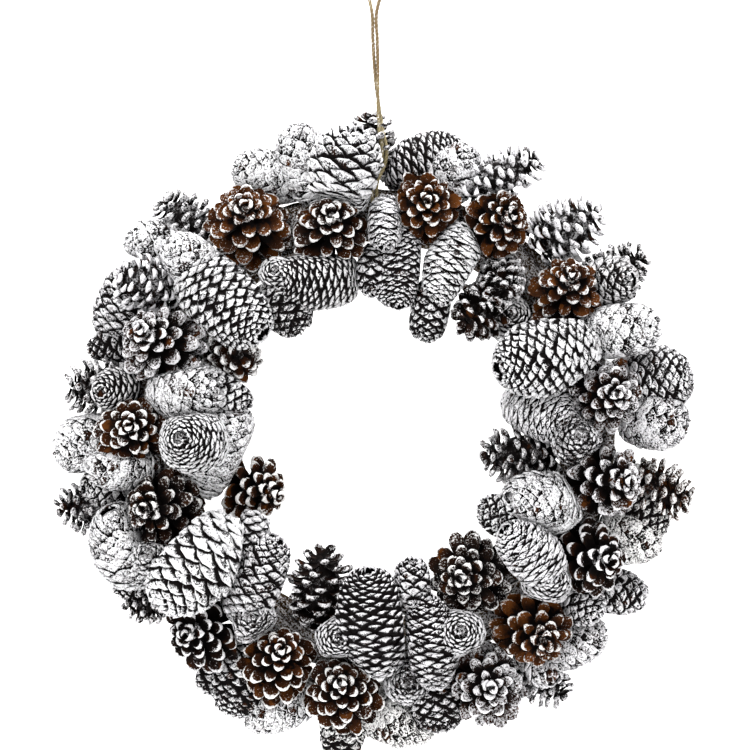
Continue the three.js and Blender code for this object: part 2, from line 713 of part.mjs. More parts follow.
addPiece('vine_ring', vineRing(), 'vine');
addPiece('jute_hanger', juteHanger(), 'jute');
for (const [node, [look]] of Object.entries(coneNodes)) addPiece(node, coneCluster(node), look);

export default wreath;
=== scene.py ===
import math

import bpy
import numpy as np
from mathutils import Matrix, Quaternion, Vector


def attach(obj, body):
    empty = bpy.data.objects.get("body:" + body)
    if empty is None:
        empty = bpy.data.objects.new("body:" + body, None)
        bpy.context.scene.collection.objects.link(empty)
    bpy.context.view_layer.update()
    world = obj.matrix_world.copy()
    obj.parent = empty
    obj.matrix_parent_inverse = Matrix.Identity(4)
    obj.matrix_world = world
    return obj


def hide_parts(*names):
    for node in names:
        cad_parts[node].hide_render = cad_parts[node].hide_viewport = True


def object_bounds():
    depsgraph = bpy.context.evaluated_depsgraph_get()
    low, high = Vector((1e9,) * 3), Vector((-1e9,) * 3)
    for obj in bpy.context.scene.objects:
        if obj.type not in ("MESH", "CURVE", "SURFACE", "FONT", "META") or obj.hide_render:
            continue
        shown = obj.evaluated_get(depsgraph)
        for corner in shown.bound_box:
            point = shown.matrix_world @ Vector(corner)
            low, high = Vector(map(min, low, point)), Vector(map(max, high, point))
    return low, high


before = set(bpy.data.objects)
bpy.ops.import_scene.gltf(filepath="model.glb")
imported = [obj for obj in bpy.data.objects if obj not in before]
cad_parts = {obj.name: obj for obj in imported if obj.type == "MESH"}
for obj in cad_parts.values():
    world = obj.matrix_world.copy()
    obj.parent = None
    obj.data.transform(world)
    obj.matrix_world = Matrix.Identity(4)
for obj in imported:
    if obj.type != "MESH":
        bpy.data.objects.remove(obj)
cadBox = [list(corner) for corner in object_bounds()]
mm = 0.001
centreDrop = 272  # from the hook down to the wreath's centre, in mm as everything here
ringRadius = 124
vineRadius = 16
print("frame loaded")


def smooth(low, high, value):
    part = np.clip((value - low) / (high - low), 0, 1)
    return part * part * (3 - 2 * part)


def addObject(name, data):
    made = bpy.data.objects.new(name, data)
    bpy.context.scene.collection.objects.link(made)
    return made


def newMesh(name, points, faces, material):
    mesh = bpy.data.meshes.new(name)
    mesh.from_pydata((np.asarray(points) * mm).tolist(), [], faces)
    mesh.polygons.foreach_set("use_smooth", [True] * len(mesh.polygons))
    mesh.materials.append(material)
    return mesh


def addPiece(name, points, faces, material, marks, slot, *nodes, crease=50):
    mesh = newMesh(name, points, faces, material)
    for markName, values in marks.items():
        mark = mesh.attributes.new(markName, "FLOAT", "POINT")
        mark.data.foreach_set("value", np.asarray(values, dtype=np.float32))
    mesh.set_sharp_from_angle(angle=math.radians(crease))
    mesh.update()
    piece = addObject(name, mesh)
    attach(piece, "root")
    if nodes:
        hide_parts(*nodes)
    return piece


# camera: straight on, the photo's frame is 424.5 mm wide at the wreath
cameraSet = {
    "lens": 85, "sensor": 36, "frameWidth": 424.5, "aimX": 0, "aimUp": 31.7, "planeDepth": -22,
}


def makeCamera():
    camera = addObject("photoCamera", bpy.data.cameras.new("photoCamera"))
    camera.data.lens = cameraSet["lens"]
    away = cameraSet["frameWidth"] * cameraSet["lens"] / cameraSet["sensor"]
    camera.location = Vector((
        cameraSet["aimX"], cameraSet["planeDepth"] - away, cameraSet["aimUp"] - centreDrop,
    )) * mm
    camera.rotation_euler = (math.radians(90), 0, 0)
    bpy.context.scene.camera = camera


makeCamera()
print("camera set")


# shared finishes
def newGroup(name, *inputs):
    group = bpy.data.node_groups.new(name, "ShaderNodeTree")
    for label, kind, value in inputs:
        socket = group.interface.new_socket(label, in_out="INPUT", socket_type=kind)
        socket.default_value = value
    for label, kind in (("Color", "Color"), ("Roughness", "Float"), ("Height", "Float")):
        group.interface.new_socket(label, in_out="OUTPUT", socket_type="NodeSocket" + kind)
    entry = group.nodes.new("NodeGroupInput")
    return Wiring(group), entry.outputs


class Wiring:
    # short way to lay shader nodes: each call makes a node and joins its inputs
    def __init__(self, tree):
        self.tree = tree

    def node(self, kind, settings=None, **inputs):
        made = self.tree.nodes.new(kind)
        for key, value in (settings or {}).items():
            setattr(made, key, value)
        for key, value in inputs.items():
            byNumber = key[0] == "i" and key[1:].isdigit()  # i0 is the first input
            self.join(value, made.inputs[int(key[1:]) if byNumber else key])
        return made

    def join(self, value, socket):
        if isinstance(value, bpy.types.NodeSocket):
            self.tree.links.new(value, socket)
        else:
            socket.default_value = value

    def math(self, operation, first, second=0.0, clamp=False):
        settings = {"operation": operation, "use_clamp": clamp}
        return self.node("ShaderNodeMath", settings, i0=first, i1=second).outputs[0]

    def add(self, first, second, clamp=False):
        return self.math("ADD", first, second, clamp)

    def less(self, first, second):
        return self.math("SUBTRACT", first, second)

    def times(self, first, second):
        return self.math("MULTIPLY", first, second)

    def sway(self, noise, amount):
        # a noise turned into a swing about zero
        return self.times(self.less(noise, 0.5), amount)

    def mix(self, share, first, second):
        settings = {"data_type": "RGBA", "blend_type": "MIX"}
        return self.node("ShaderNodeMix", settings, i0=share, i6=first, i7=second).outputs[2]

    def step(self, value, low, high):
        settings = {"interpolation_type": "SMOOTHSTEP"}
        return self.node("ShaderNodeMapRange", settings, i0=value, i1=low, i2=high).outputs[0]

    def mark(self, name):
        settings = {"attribute_type": "GEOMETRY", "attribute_name": name}
        return self.node("ShaderNodeAttribute", settings).outputs["Fac"]

    def place(self):
        return self.node("ShaderNodeTexCoord").outputs["Object"]

    def leave(self, *values):
        # colour, roughness and height go out of the group
        for value, socket in zip(values, self.node("NodeGroupOutput").inputs):
            self.join(value, socket)
        return self.tree

    def noise(self, place, scale, detail=3.0, rough=0.55):
        made = self.node("ShaderNodeTexNoise", None, i0=place)
        made.inputs["Scale"].default_value = scale
        made.inputs["Detail"].default_value = detail
        made.inputs["Roughness"].default_value = rough
        return made.outputs["Fac"]

    def ramp(self, value, stops):
        made = self.node("ShaderNodeValToRGB", None, i0=value)
        band = made.color_ramp
        while len(band.elements) < len(stops):
            band.elements.new(0.5)
        for element, (place, colour) in zip(band.elements, stops):
            element.position = place
            element.color = (*colour, 1)
        return made.outputs[0]


barkTones = [  # from black to golden brown
    (0.0, (0.002, 0.0013, 0.001)),
    (0.25, (0.009, 0.004, 0.0025)),
    (0.5, (0.02, 0.0065, 0.0024)),
    (0.75, (0.032, 0.0095, 0.002)),
    (1.0, (0.082, 0.025, 0.0042)),
]
frostSet = {  # scales of the noises, what each adds, and from where to where a mask fades in
    "fine": 1900, "pits": 900, "clumps": 850, "shade": 620, "gapShadeGrain": 260, "broad": 150, "worn": 75,
    "broadTone": 0.9, "clumpTone": 0.75, "wornTone": 0.45, "wornCoat": 0.5, "pitCoat": 0.6,
    "raggedGapShade": 1.6, "scatter": 3.4,
    "wornFade": (0.6, 0.7), "gapShadeFade": (0.2, 0.75), "rimFade": (0.46, 0.66), "pitFade": (0.52, 0.58),
    "coatFade": (0.44, 0.64), "shadeFade": (0.56, 0.86),
    "gapShadeColour": (0.003, 0.002, 0.002, 1), "shadeColour": (0.26, 0.245, 0.25, 1),
}


def makeFrostGroup():
    # bark under a coat of frost: thick on the rims of the scales, speckled on their backs; painted shade,
    # near black, fills the gaps and hollows between the scales
    w, entry = newGroup(
        "frostedBark",
        ("Frost", "NodeSocketColor", (0.8, 0.8, 0.82, 1)),
        ("Bark Shift", "NodeSocketFloat", 0.0),
        ("Coat Frost", "NodeSocketFloat", 1.0),
    )
    place, f = w.place(), frostSet
    fine = w.noise(place, f["fine"], 2.0, 0.6)
    clumps = w.noise(place, f["clumps"], 3.0, 0.65)
    broad = w.noise(place, f["broad"])
    worn = w.step(w.noise(place, f["worn"], 2.0), *f["wornFade"])
    bark = w.add(w.mark("warm"), entry["Bark Shift"])
    bark = w.add(bark, w.times(worn, f["wornTone"]))
    bark = w.add(bark, w.sway(broad, f["broadTone"]))
    bark = w.add(bark, w.sway(clumps, f["clumpTone"]), clamp=True)
    # painted shade: near black in the gaps and hollows between the scales, with ragged edges, and no frost
    # there
    gapShade = w.add(w.mark("hollowShade"), w.sway(clumps, f["raggedGapShade"]))
    gapShade = w.add(gapShade, w.sway(w.noise(place, f["gapShadeGrain"], 2.0), f["raggedGapShade"]))
    gapShade = w.step(gapShade, *f["gapShadeFade"])
    barkColour = w.mix(gapShade, w.ramp(bark, barkTones), f["gapShadeColour"])

    scatter = w.add(w.times(clumps, 0.6), w.times(fine, 0.25))
    scatter = w.less(w.add(scatter, w.times(broad, 0.15)), 0.5)
    scatter = w.times(scatter, f["scatter"])
    rim = w.step(w.add(w.mark("rim"), scatter), *f["rimFade"])
    coat = w.times(w.mark("coat"), entry["Coat Frost"])
    coat = w.less(coat, w.times(worn, f["wornCoat"]))
    pits = w.step(w.noise(place, f["pits"], 4.0, 0.8), *f["pitFade"])
    coat = w.less(coat, w.times(pits, f["pitCoat"]))
    coat = w.step(w.add(coat, scatter), *f["coatFade"])
    frosted = w.times(w.math("MAXIMUM", rim, coat), w.less(1.0, gapShade))
    shade = w.add(w.times(w.noise(place, f["shade"], 3.0, 0.7), 0.8), w.times(broad, 0.4))
    shade = w.step(shade, *f["shadeFade"])
    frostColour = w.mix(shade, entry["Frost"], f["shadeColour"])

    roughness = w.add(0.66, w.times(frosted, 0.25))
    height = w.add(w.times(frosted, w.add(0.5, clumps)), w.times(fine, 0.4))
    return w.leave(w.mix(frosted, barkColour, frostColour), roughness, height)


frostGroup = makeFrostGroup()

coneLooks = {  # by material slot: the frost's colour, what is added to the bark's tone, the coat and the bump
    "brown": ((0.86, 0.85, 0.84, 1), 0.0, 1.0, 0.5),
    "russet": ((0.86, 0.84, 0.82, 1), 0.06, 0.95, 0.5),
    "dark": ((0.8, 0.79, 0.8, 1), -0.05, 1.0, 0.6),
    "frosted": ((0.84, 0.83, 0.85, 1), -0.02, 1.0, 0.7),
    "white": ((0.89, 0.885, 0.9, 1), 0.0, 1.1, 0.8),
}
bumpDepth = 0.35


def finishMaterial(name, group, inputs, bump, specular=0.04):
    material = bpy.data.materials.new(name)
    material.use_nodes = True
    w = Wiring(material.node_tree)
    shader = material.node_tree.nodes["Principled BSDF"]
    made = w.node("ShaderNodeGroup", {"node_tree": group}, **inputs)
    w.join(made.outputs["Color"], shader.inputs["Base Color"])
    w.join(made.outputs["Roughness"], shader.inputs["Roughness"])
    raised = w.node("ShaderNodeBump", None, Height=made.outputs["Height"])
    raised.inputs["Strength"].default_value = bump
    raised.inputs["Distance"].default_value = bumpDepth * mm
    w.join(raised.outputs["Normal"], shader.inputs["Normal"])
    shader.inputs["Specular IOR Level"].default_value = specular
    return material


coneMaterials = {}
for look, (frost, shift, coat, bump) in coneLooks.items():
    inputs = {"Frost": frost, "Bark Shift": shift, "Coat Frost": coat}
    coneMaterials[look] = finishMaterial(look + "Cones", frostGroup, inputs, bump)
print("cone materials made")

# how a single cone looks: warm picks the bark's tone, from black to golden, coat and under are the frost
# on the upper and the under side of its scales. Shut scales show as diamonds: tile is their size in mm2,
# aspect their width to their height, the slit shade how wide the painted shade in the gaps is, relief how far
# they stand up
finishKeys = ("warm", "coat", "rim", "under", "slit", "tile", "aspect", "relief")
usualFinish = {"aspect": 1.8, "relief": 1.0}
coneFinishes = {
    "golden": (0.95, 0.28, 0.75, 0.5, 1.0, 30),
    "rust": (0.88, 0.22, 0.72, 0.5, 1.0, 30),
    "red": (0.7, 0.2, 1.05, 0.6, 1.0, 30),
    "brown": (0.68, 0.28, 1.0, 0.6, 1.0, 30),
    "umber": (0.5, 0.3, 0.75, 0.5, 1.0, 32),
    "olive": (0.45, 0.34, 0.8, 0.55, 1.0, 30),
    "black": (0.4, 0.2, 1.1, 0.6, 1.0, 30),
    "hoary": (0.6, 0.6, 0.9, 0.7, 1.0, 26),
    "sooty": (0.5, 0.66, 0.6, 0.6, 1.3, 29),
    "grey": (0.45, 0.78, 0.75, 0.7, 1.0, 32),
    "ash": (0.45, 1.0, 1.0, 0.9, 1.0, 30),
    "lilac": (0.3, 0.65, 0.9, 0.76, 0.75, 25.5, 3.2, 0.8),
    "ringed": (0.35, 0.5, 1.0, 0.52, 1.5, 25.5, 2.6, 1.0),
    "striped": (0.35, 0.55, 0.85, 0.6, 1.3, 25.5, 2.6, 1.0),
    "diamond": (0.3, 0.6, 0.9, 0.7, 1.2, 34),
    "barred": (0.35, 0.6, 0.95, 0.56, 1.75, 34, 2.8, 1.0),
    "bold": (0.4, 0.7, 0.95, 0.76, 0.8, 75, 2.4, 1.0),
    "snow": (0.6, 0.7, 0.75, 0.7, -0.1, 44, 1.8, 0.5),
}
coneFinishes = {name: {**usualFinish, **dict(zip(finishKeys, row))} for name, row in coneFinishes.items()}

# kinds of cone: balls are (place along the cone, share of its half width), its outline for laying it down
openBalls = [(-0.28, 0.72), (-0.04, 1), (0.2, 0.86)]
closedBalls = [(-0.27, 0.75), (-0.08, 1), (0.12, 0.92), (0.32, 0.6)]
smallBalls = [(-0.2, 0.85), (0, 1), (0.2, 0.8)]
coneKinds = {
    "open": {"balls": openBalls, "bite": 0.62, "plump": 1.08, "scales": 48, "core": 0.3},
    "spiky": {"balls": openBalls, "bite": 0.62, "plump": 1.2, "scales": 72, "core": 0.6},
    "closed": {"balls": closedBalls, "bite": 0.68, "plump": 1.18, "core": 0.84},
    "small": {"balls": smallBalls, "bite": 0.62, "plump": 1.22, "core": 0.82},
}

habits = {  # rim is how deep its frost goes in mm, from the base of a cone to its tip
    "open": {"start": 0.5, "stray": 0.14, "rim": (1.95, 1.2), "coatStray": 0.1, "coreTop": 0.32},
    "shut": {"start": 0.95, "stray": 0.07, "rim": (1.6, 1.6), "coatStray": 0.24, "coreTop": 0.43},
}

layingSet = {  # a bite under 1 lets two cones sink into each other
    "wallDepth": 16, "clusterBite": 0.6, "familyBite": 0.58, "ringBite": 0.62,
    "layerDepths": (0, -12, -26), "nearby": 7, "tries": 40,
}

# node: (material slot, its cones). A cone is kind, x, z, width, length, turn, lean, layer, finish
coneNodes = {
    "top_edge": ("dark", [("spiky", -3, 163, 30, 36, 90, 10, 0, "sooty")]),
    "top_bold": ("white", [
        ("closed", -17, 149, 31, 40, 70, 20, 1, "bold"),
        ("small", -10, 132, 13, 18, 90, 75, 1, "ringed"),
    ]),
    "top_white": ("white", [
        ("closed", -38, 151, 26, 44, 115, 12, 0, "snow"),
        ("closed", -57, 145, 26, 44, 165, 10, 0, "snow"),
    ]),
    "top_grey": ("frosted", [
        ("closed", 27, 154, 26, 44, 25, 10, 0, "striped"),
        ("closed", 52, 141, 23, 32, 60, 10, 0, "snow"),
        ("spiky", 81, 141, 28, 46, 25, 5, 0, "ash"),
    ]),
    "top_left_open": ("brown", [("open", -24, 115, 45, 40, 90, 65, 2, "brown")]),
    "top_right_open": ("russet", [("open", 29, 127, 42, 38, 80, 85, 2, "rust")]),
    "top_inner": ("frosted", [
        ("closed", 13, 94, 28, 44, -90, 20, 1, "striped"),
        ("small", -4, 90, 16, 26, -90, 20, 0, "sooty"),
    ]),
    "top_blue": ("frosted", [("small", 6, 117, 18, 28, -90, 25, 1, "lilac")]),
    "top_inner_white": ("white", [
        ("closed", 43, 94, 25, 44, -112, 15, 1, "lilac"),
        ("small", 31, 68, 19, 30, -100, 10, 0, "sooty"),
    ]),
    "top_inner_ringed": ("dark", [
        ("closed", -32, 86, 28, 46, 185, 35, 2, "ringed"),
        ("small", -60, 90, 15, 22, 110, 75, 1, "ringed"),
        ("small", -52, 67, 22, 30, -50, 10, 0, "sooty"),
    ]),
    "one_open": ("brown", [("open", 70, 118, 44, 40, 20, 65, 2, "rust")]),
    "one_bumpy": ("frosted", [("spiky", 110, 115, 34, 42, 30, 20, 1, "ash")]),
    "two_open": ("brown", [("open", 109, 80, 43, 40, 90, 65, 2, "rust")]),
    "two_outer": ("dark", [
        ("spiky", 139, 92, 28, 36, 25, 5, 0, "umber"),
        ("small", 132, 84, 23, 30, 10, 45, 1, "grey"),
    ]),
    "two_inner": ("dark", [
        ("spiky", 71, 84, 26, 28, -90, 60, 1, "sooty"),
        ("spiky", 57, 60, 30, 34, -145, 45, 1, "umber"),
        ("small", 79, 63, 20, 26, 60, 80, 1, "ringed"),
    ]),
    "two_white": ("white", [("closed", 136, 57, 27, 44, 5, 8, 0, "snow")]),
    "three_diamond": ("white", [("closed", 95, 42, 34, 54, 195, 20, 1, "diamond")]),
    "three_ringed": ("frosted", [
        ("closed", 96, 12, 32, 44, -35, 45, 1, "lilac"),
        ("small", 115, -7, 22, 28, 60, 80, 1, "sooty"),
    ]),
    "three_open": ("frosted", [("open", 131, 21, 43, 40, 0, 80, 2, "hoary")]),
    "three_outer": ("frosted", [
        ("small", 160, 28, 32, 38, 10, 15, 0, "grey"),
        ("closed", 156, -3, 29, 38, -20, 12, 0, "snow"),
    ]),
    "three_inner": ("dark", [("spiky", 83, -14, 32, 42, 180, 15, 1, "sooty")]),
    "four_open": ("frosted", [("open", 132, -28, 46, 42, 5, 62, 2, "hoary")]),
    "four_outer": ("brown", [
        ("spiky", 164, -35, 30, 36, -15, 5, 0, "golden"),
        ("small", 154, -49, 20, 28, -40, 10, 0, "sooty"),
        ("closed", 143, -66, 25, 38, -10, 5, 0, "snow"),
    ]),
    "four_inner": ("white", [
        ("closed", 93, -42, 32, 42, 170, 35, 1, "snow"),
        ("small", 67, -54, 18, 30, 150, 10, 0, "umber"),
    ]),
    "four_lilac": ("frosted", [
        ("closed", 87, -68, 26, 40, 135, 20, 1, "lilac"),
        ("small", 97, -83, 22, 28, 100, 75, 1, "ringed"),
    ]),
    "five_open": ("dark", [("open", 123, -71, 47, 42, 0, 62, 2, "black")]),
    "five_outer": ("frosted", [
        ("closed", 137, -93, 21, 36, -10, 5, 0, "grey"),
        ("small", 116, -97, 20, 28, -45, 35, 0, "grey"),
    ]),
    "five_inner_open": ("brown", [("open", 52, -82, 45, 40, 170, 75, 2, "olive")]),
    "six_striped": ("frosted", [
        ("closed", 31, -118, 29, 48, 95, 15, 1, "striped"),
        ("small", 21, -87, 18, 28, 90, 10, 0, "grey"),
        ("small", 52, -112, 22, 28, 90, 80, 1, "ringed"),
    ]),
    "five_brown_open": ("russet", [("open", 91, -113, 47, 42, -45, 72, 2, "rust")]),
    "five_edge": ("frosted", [
        ("closed", 113, -122, 25, 38, 20, 5, 0, "snow"),
        ("small", 83, -140, 17, 24, -45, 40, 1, "snow"),
        ("spiky", 95, -143, 27, 36, -40, 5, 0, "sooty"),
    ]),
    "six_white_open": ("frosted", [("open", 63, -143, 46, 42, 60, 82, 2, "hoary")]),
    "six_edge": ("frosted", [
        ("small", 35, -151, 27, 36, -80, 15, 0, "sooty"),
        ("small", 15, -143, 21, 26, 90, 80, 1, "umber"),
    ]),
    "six_great": ("frosted", [
        ("closed", -2, -107, 34, 57, 95, 20, 1, "barred"),
        ("small", -27, -117, 22, 28, 90, 80, 1, "ringed"),
    ]),
    "six_comb": ("dark", [("spiky", -30, -89, 34, 44, 90, 20, 1, "umber")]),
    "six_open": ("brown", [("open", -19, -145, 44, 40, 90, 70, 2, "brown")]),
    "six_lowest": ("brown", [
        ("closed", 12, -165, 28, 42, -20, 8, 0, "snow"),
        ("small", -16, -161, 28, 32, -80, 25, 0, "grey"),
        ("small", -19, -176, 19, 26, -95, 5, 0, "umber"),
    ]),
    "seven_edge": ("white", [
        ("closed", -54, -158, 25, 42, 205, 5, 0, "snow"),
        ("small", -75, -142, 29, 40, -110, 10, 0, "sooty"),
        ("small", -91, -140, 16, 24, -130, 10, 0, "sooty"),
    ]),
    "seven_open": ("russet", [("open", -54, -128, 43, 40, 75, 65, 2, "red")]),
    "seven_inner": ("frosted", [
        ("closed", -67, -83, 29, 48, 65, 15, 1, "grey"),
        ("small", -69, -106, 20, 26, 90, 70, 1, "umber"),
        ("small", -77, -54, 17, 26, -100, 20, 0, "grey"),
    ]),
    "eight_open": ("dark", [("open", -99, -112, 44, 40, 180, 70, 2, "black")]),
    "eight_great": ("white", [("closed", -98, -74, 38, 56, 225, 15, 1, "bold")]),
    "eight_edge": ("dark", [
        ("small", -137, -85, 20, 26, 205, 10, 0, "sooty"),
        ("spiky", -126, -101, 25, 34, 190, 5, 0, "umber"),
    ]),
    "nine_open": ("brown", [("open", -122, -43, 46, 42, 180, 70, 2, "umber")]),
    "nine_edge": ("dark", [
        ("spiky", -164, -44, 28, 36, 185, 10, 0, "sooty"),
        ("small", -151, -32, 25, 32, 180, 35, 0, "grey"),
    ]),
    "eight_ringed": ("white", [
        ("closed", -141, -65, 32, 46, 110, 30, 0, "snow"),
        ("small", -126, -71, 16, 24, 90, 70, 1, "sooty"),
    ]),
    "nine_upper_open": ("brown", [("open", -136, 0, 43, 40, 90, 80, 2, "brown")]),
    "nine_white": ("white", [
        ("closed", -160, -7, 32, 44, 195, 5, 0, "snow"),
        ("small", -143, -20, 22, 34, 180, 10, 0, "snow"),
    ]),
    "nine_inner": ("white", [
        ("closed", -91, -10, 32, 52, 62, 12, 0, "snow"),
        ("small", -101, -5, 28, 38, 160, 75, 1, "ringed"),
    ]),
    "nine_inner_open": ("russet", [("open", -66, -34, 38, 38, -10, 45, 1, "red")]),
    "ten_white": ("white", [
        ("closed", -106, 22, 29, 40, 10, 20, 1, "snow"),
        ("small", -87, 23, 20, 32, -30, 10, 1, "grey"),
    ]),
    "ten_small_open": ("brown", [("spiky", -82, 43, 31, 32, 0, 65, 1, "hoary")]),
    "ten_diamond": ("white", [
        ("closed", -84, 73, 35, 54, -42, 20, 1, "diamond"),
        ("closed", -101, 94, 24, 38, 140, 15, 0, "snow"),
    ]),
    "ten_open": ("frosted", [("open", -124, 51, 45, 42, 135, 65, 2, "hoary")]),
    "ten_outer": ("frosted", [
        ("closed", -144, 73, 26, 42, 70, 5, 0, "grey"),
        ("spiky", -129, 83, 32, 36, 165, 30, 1, "ash"),
        ("small", -149, 48, 17, 28, 190, 10, 0, "sooty"),
    ]),
    "ten_edge": ("dark", [
        ("spiky", -158, 24, 33, 38, 175, 10, 0, "sooty"),
        ("small", -147, 23, 20, 28, 180, 60, 0, "ringed"),
    ]),
    "eleven_white": ("white", [
        ("closed", -121, 105, 27, 42, 165, 10, 0, "snow"),
        ("spiky", -104, 128, 29, 38, 140, 5, 0, "sooty"),
    ]),
    "eleven_open": ("brown", [("open", -72, 119, 48, 44, 90, 70, 2, "golden")]),
}


class Cone:
    def __init__(self, node, row):
        self.node = node
        self.kind, x, z, width, length, turn, lean, self.layer, finish = row
        self.finish = coneFinishes[finish]
        kind = coneKinds[self.kind]
        self.isOpen = self.kind in ("open", "spiky")
        self.habit = habits["open" if self.isOpen else "shut"]
        self.width = kind["plump"] * width
        self.length = kind["plump"] * length
        around, out = math.radians(turn), math.radians(lean)
        self.direction = Vector((
            math.cos(around) * math.cos(out), -math.sin(out), math.sin(around) * math.cos(out),
        ))
        self.middle = Vector((x, 0, z))
        self.balls = []
        for place, share in kind["balls"]:
            radius = share * self.width / 2
            reach = max(0, self.length / 2 - radius)
            self.balls.append((min(max(place * self.length, -reach), reach), radius))
        self.faces = []
        self.profile = None

    def ballCentre(self, along):
        return self.middle + self.direction * along

    def axisEnds(self):
        return self.ballCentre(self.balls[0][0]), self.ballCentre(self.balls[-1][0])

    def radiusAt(self, share):
        first, last = self.balls[0][0], self.balls[-1][0]
        along = first + share * (last - first)
        for (a0, r0), (a1, r1) in zip(self.balls, self.balls[1:]):
            if along <= a1 and a1 > a0:
                return r0 + (r1 - r0) * (along - a0) / (a1 - a0)
        return self.balls[len(self.balls) // 2][1]


def nearestPoints(a0, a1, b0, b1):
    alongA, alongB, between = a1 - a0, b1 - b0, a0 - b0
    aa, bb, ab = alongA.length_squared, alongB.length_squared, alongA.dot(alongB)
    spread = aa * bb - ab * ab
    s = 0.5
    if spread > 1e-6 * aa * bb:
        s = min(max((ab * alongB.dot(between) - bb * alongA.dot(between)) / spread, 0), 1)
    t = min(max((ab * s + alongB.dot(between)) / bb, 0), 1) if bb > 0 else 0
    if aa > 0:
        s = min(max((ab * t - alongA.dot(between)) / aa, 0), 1)
    return a0 + alongA * s, b0 + alongB * t, s, t


def layDown(cone, placed):
    # from the front, until it rests on the ring, on other cones or on the wall
    wall = min(layingSet["wallDepth"] - radius - cone.direction.y * along for along, radius in cone.balls)
    depth = min(wall, layingSet["layerDepths"][cone.layer])
    for along, radius in cone.balls:
        at = cone.ballCentre(along)
        beside = abs(math.hypot(at.x, at.z) - ringRadius)
        reach = vineRadius + layingSet["ringBite"] * radius
        if beside < reach:
            depth = min(depth, -math.sqrt(reach ** 2 - beside ** 2) - at.y)
        for other in placed:
            bite = min(coneKinds[cone.kind]["bite"], coneKinds[other.kind]["bite"])
            if other.node == cone.node:
                if other.layer >= cone.layer:
                    continue
                bite = layingSet["clusterBite"]
            for otherAlong, otherRadius in other.balls:
                there = other.ballCentre(otherAlong)
                beside = math.hypot(there.x - at.x, there.z - at.z)
                reach = bite * (radius + otherRadius)
                if beside < reach:
                    depth = min(depth, there.y - math.sqrt(reach ** 2 - beside ** 2) - at.y)
    cone.middle.y = depth


def drawIn(cone, placed):
    # towards the nearest cone of its own node, until the two overlap
    family = [other for other in placed if other.node == cone.node]
    laidDepth = cone.middle.y
    for _ in range(layingSet["tries"] if family else 0):
        meetings = []
        for other in family:
            onA, onB, s, t = nearestPoints(*cone.axisEnds(), *other.axisEnds())
            reach = layingSet["familyBite"] * (cone.radiusAt(s) + other.radiusAt(t))
            meetings.append(((onB - onA).length - reach, onB - onA, reach))
        slack, towards, reach = min(meetings, key=lambda meeting: meeting[0])
        if slack <= 0:
            return
        beside = math.hypot(towards.x, towards.z)
        sideways = max(0, 1 - reach / beside) / 2
        cone.middle += Vector((towards.x * sideways, towards.y / 4, towards.z * sideways))
        cone.middle.y = min(cone.middle.y, laidDepth)


def addFaces(cone, other):
    # scales of neighbours give way to each other at a shared face
    onA, onB, s, t = nearestPoints(*cone.axisEnds(), *other.axisEnds())
    own, theirs = cone.radiusAt(s), other.radiusAt(t)
    towards = onB - onA
    distance = towards.length
    if distance < own + theirs + layingSet["nearby"]:
        towards.normalize()
        shared = onA + towards * (distance * own / (own + theirs))
        cone.faces.append((shared, -towards))
        other.faces.append((shared, towards))


def addRingFace(cone):
    # where the cone meets the vine ring
    best = None
    for along, radius in cone.balls:
        at = cone.ballCentre(along)
        fromCentre = Vector((at.x, 0, at.z + centreDrop)).normalized()
        onRing = Vector((0, 0, -centreDrop)) + fromCentre * ringRadius
        away = at - onRing
        depth = radius + vineRadius - away.length
        if best is None or depth > best[0]:
            best = (depth, onRing, away.normalized())
    depth, onRing, away = best
    if depth > -layingSet["nearby"]:
        cone.faces.append((onRing + away * vineRadius, away))


def layAllCones():
    cones = [Cone(node, row) for node, (_, rows) in coneNodes.items() for row in rows]
    firstLayer = {}
    for cone in cones:
        firstLayer.setdefault(cone.node, cone.layer)
    placed = []
    for cone in sorted(cones, key=lambda cone: firstLayer[cone.node]):
        layDown(cone, placed)
        drawIn(cone, placed)
        placed.append(cone)
    for cone in cones:
        cone.middle.z -= centreDrop
    for i, cone in enumerate(cones):
        for other in cones[i + 1:]:
            if other.node != cone.node:
                addFaces(cone, other)
        addRingFace(cone)
    return cones


cones = layAllCones()
print("cones laid:", len(cones))


# meshes are put together from parts, each one its points, its faces and its marks
def shiftFaces(faces, by):
    return [tuple(by + k for k in face) for face in faces]


def joinParts(parts):
    faces, count = [], 0
    for points, partFaces, _ in parts:
        faces += shiftFaces(partFaces, count)
        count += len(points)
    marks = {key: np.concatenate([part[2][key] for part in parts]) for key in parts[0][2]}
    return np.concatenate([part[0] for part in parts]), faces, marks


def tubeFaces(rings, sides, closed=False):
    # from each ring of corners to the next one, with a cap at both ends of an open tube
    faces = []
    for i in range(rings if closed else rings - 1):
        here, there = i * sides, (i + 1) % rings * sides
        for k in range(sides):
            after = (k + 1) % sides
            faces.append((here + k, here + after, there + after, there + k))
    if not closed:
        faces.append(tuple(range(sides - 1, -1, -1)))
        faces.append(tuple((rings - 1) * sides + k for k in range(sides)))
    return faces


# scales are tongues: u runs from root to rim, v from side to side, over an upper and an under face
def scaleTemplate(rows, columns):
    n, m = len(rows), len(columns)
    under = n * m
    faces = []
    for r in range(n - 1):
        for c in range(m - 1):
            a, b = r * m + c, (r + 1) * m + c
            faces.append((a, a + 1, b + 1, b))
            faces.append((under + b, under + b + 1, under + a + 1, under + a))
    border = [r * m for r in range(n)]
    border += [(n - 1) * m + c for c in range(1, m)]
    border += [r * m + m - 1 for r in range(n - 2, -1, -1)]
    for a, b in zip(border, border[1:]):
        faces.append((a, b, under + b, under + a))
    faces.append((*range(m - 1, -1, -1), *range(under, under + m)))
    u = np.tile(np.repeat(rows, m), 2)[None, :]
    v = np.tile(columns, 2 * n)[None, :]
    isUpper = np.repeat([True, False], under)[None, :]
    return u, v, isUpper, faces


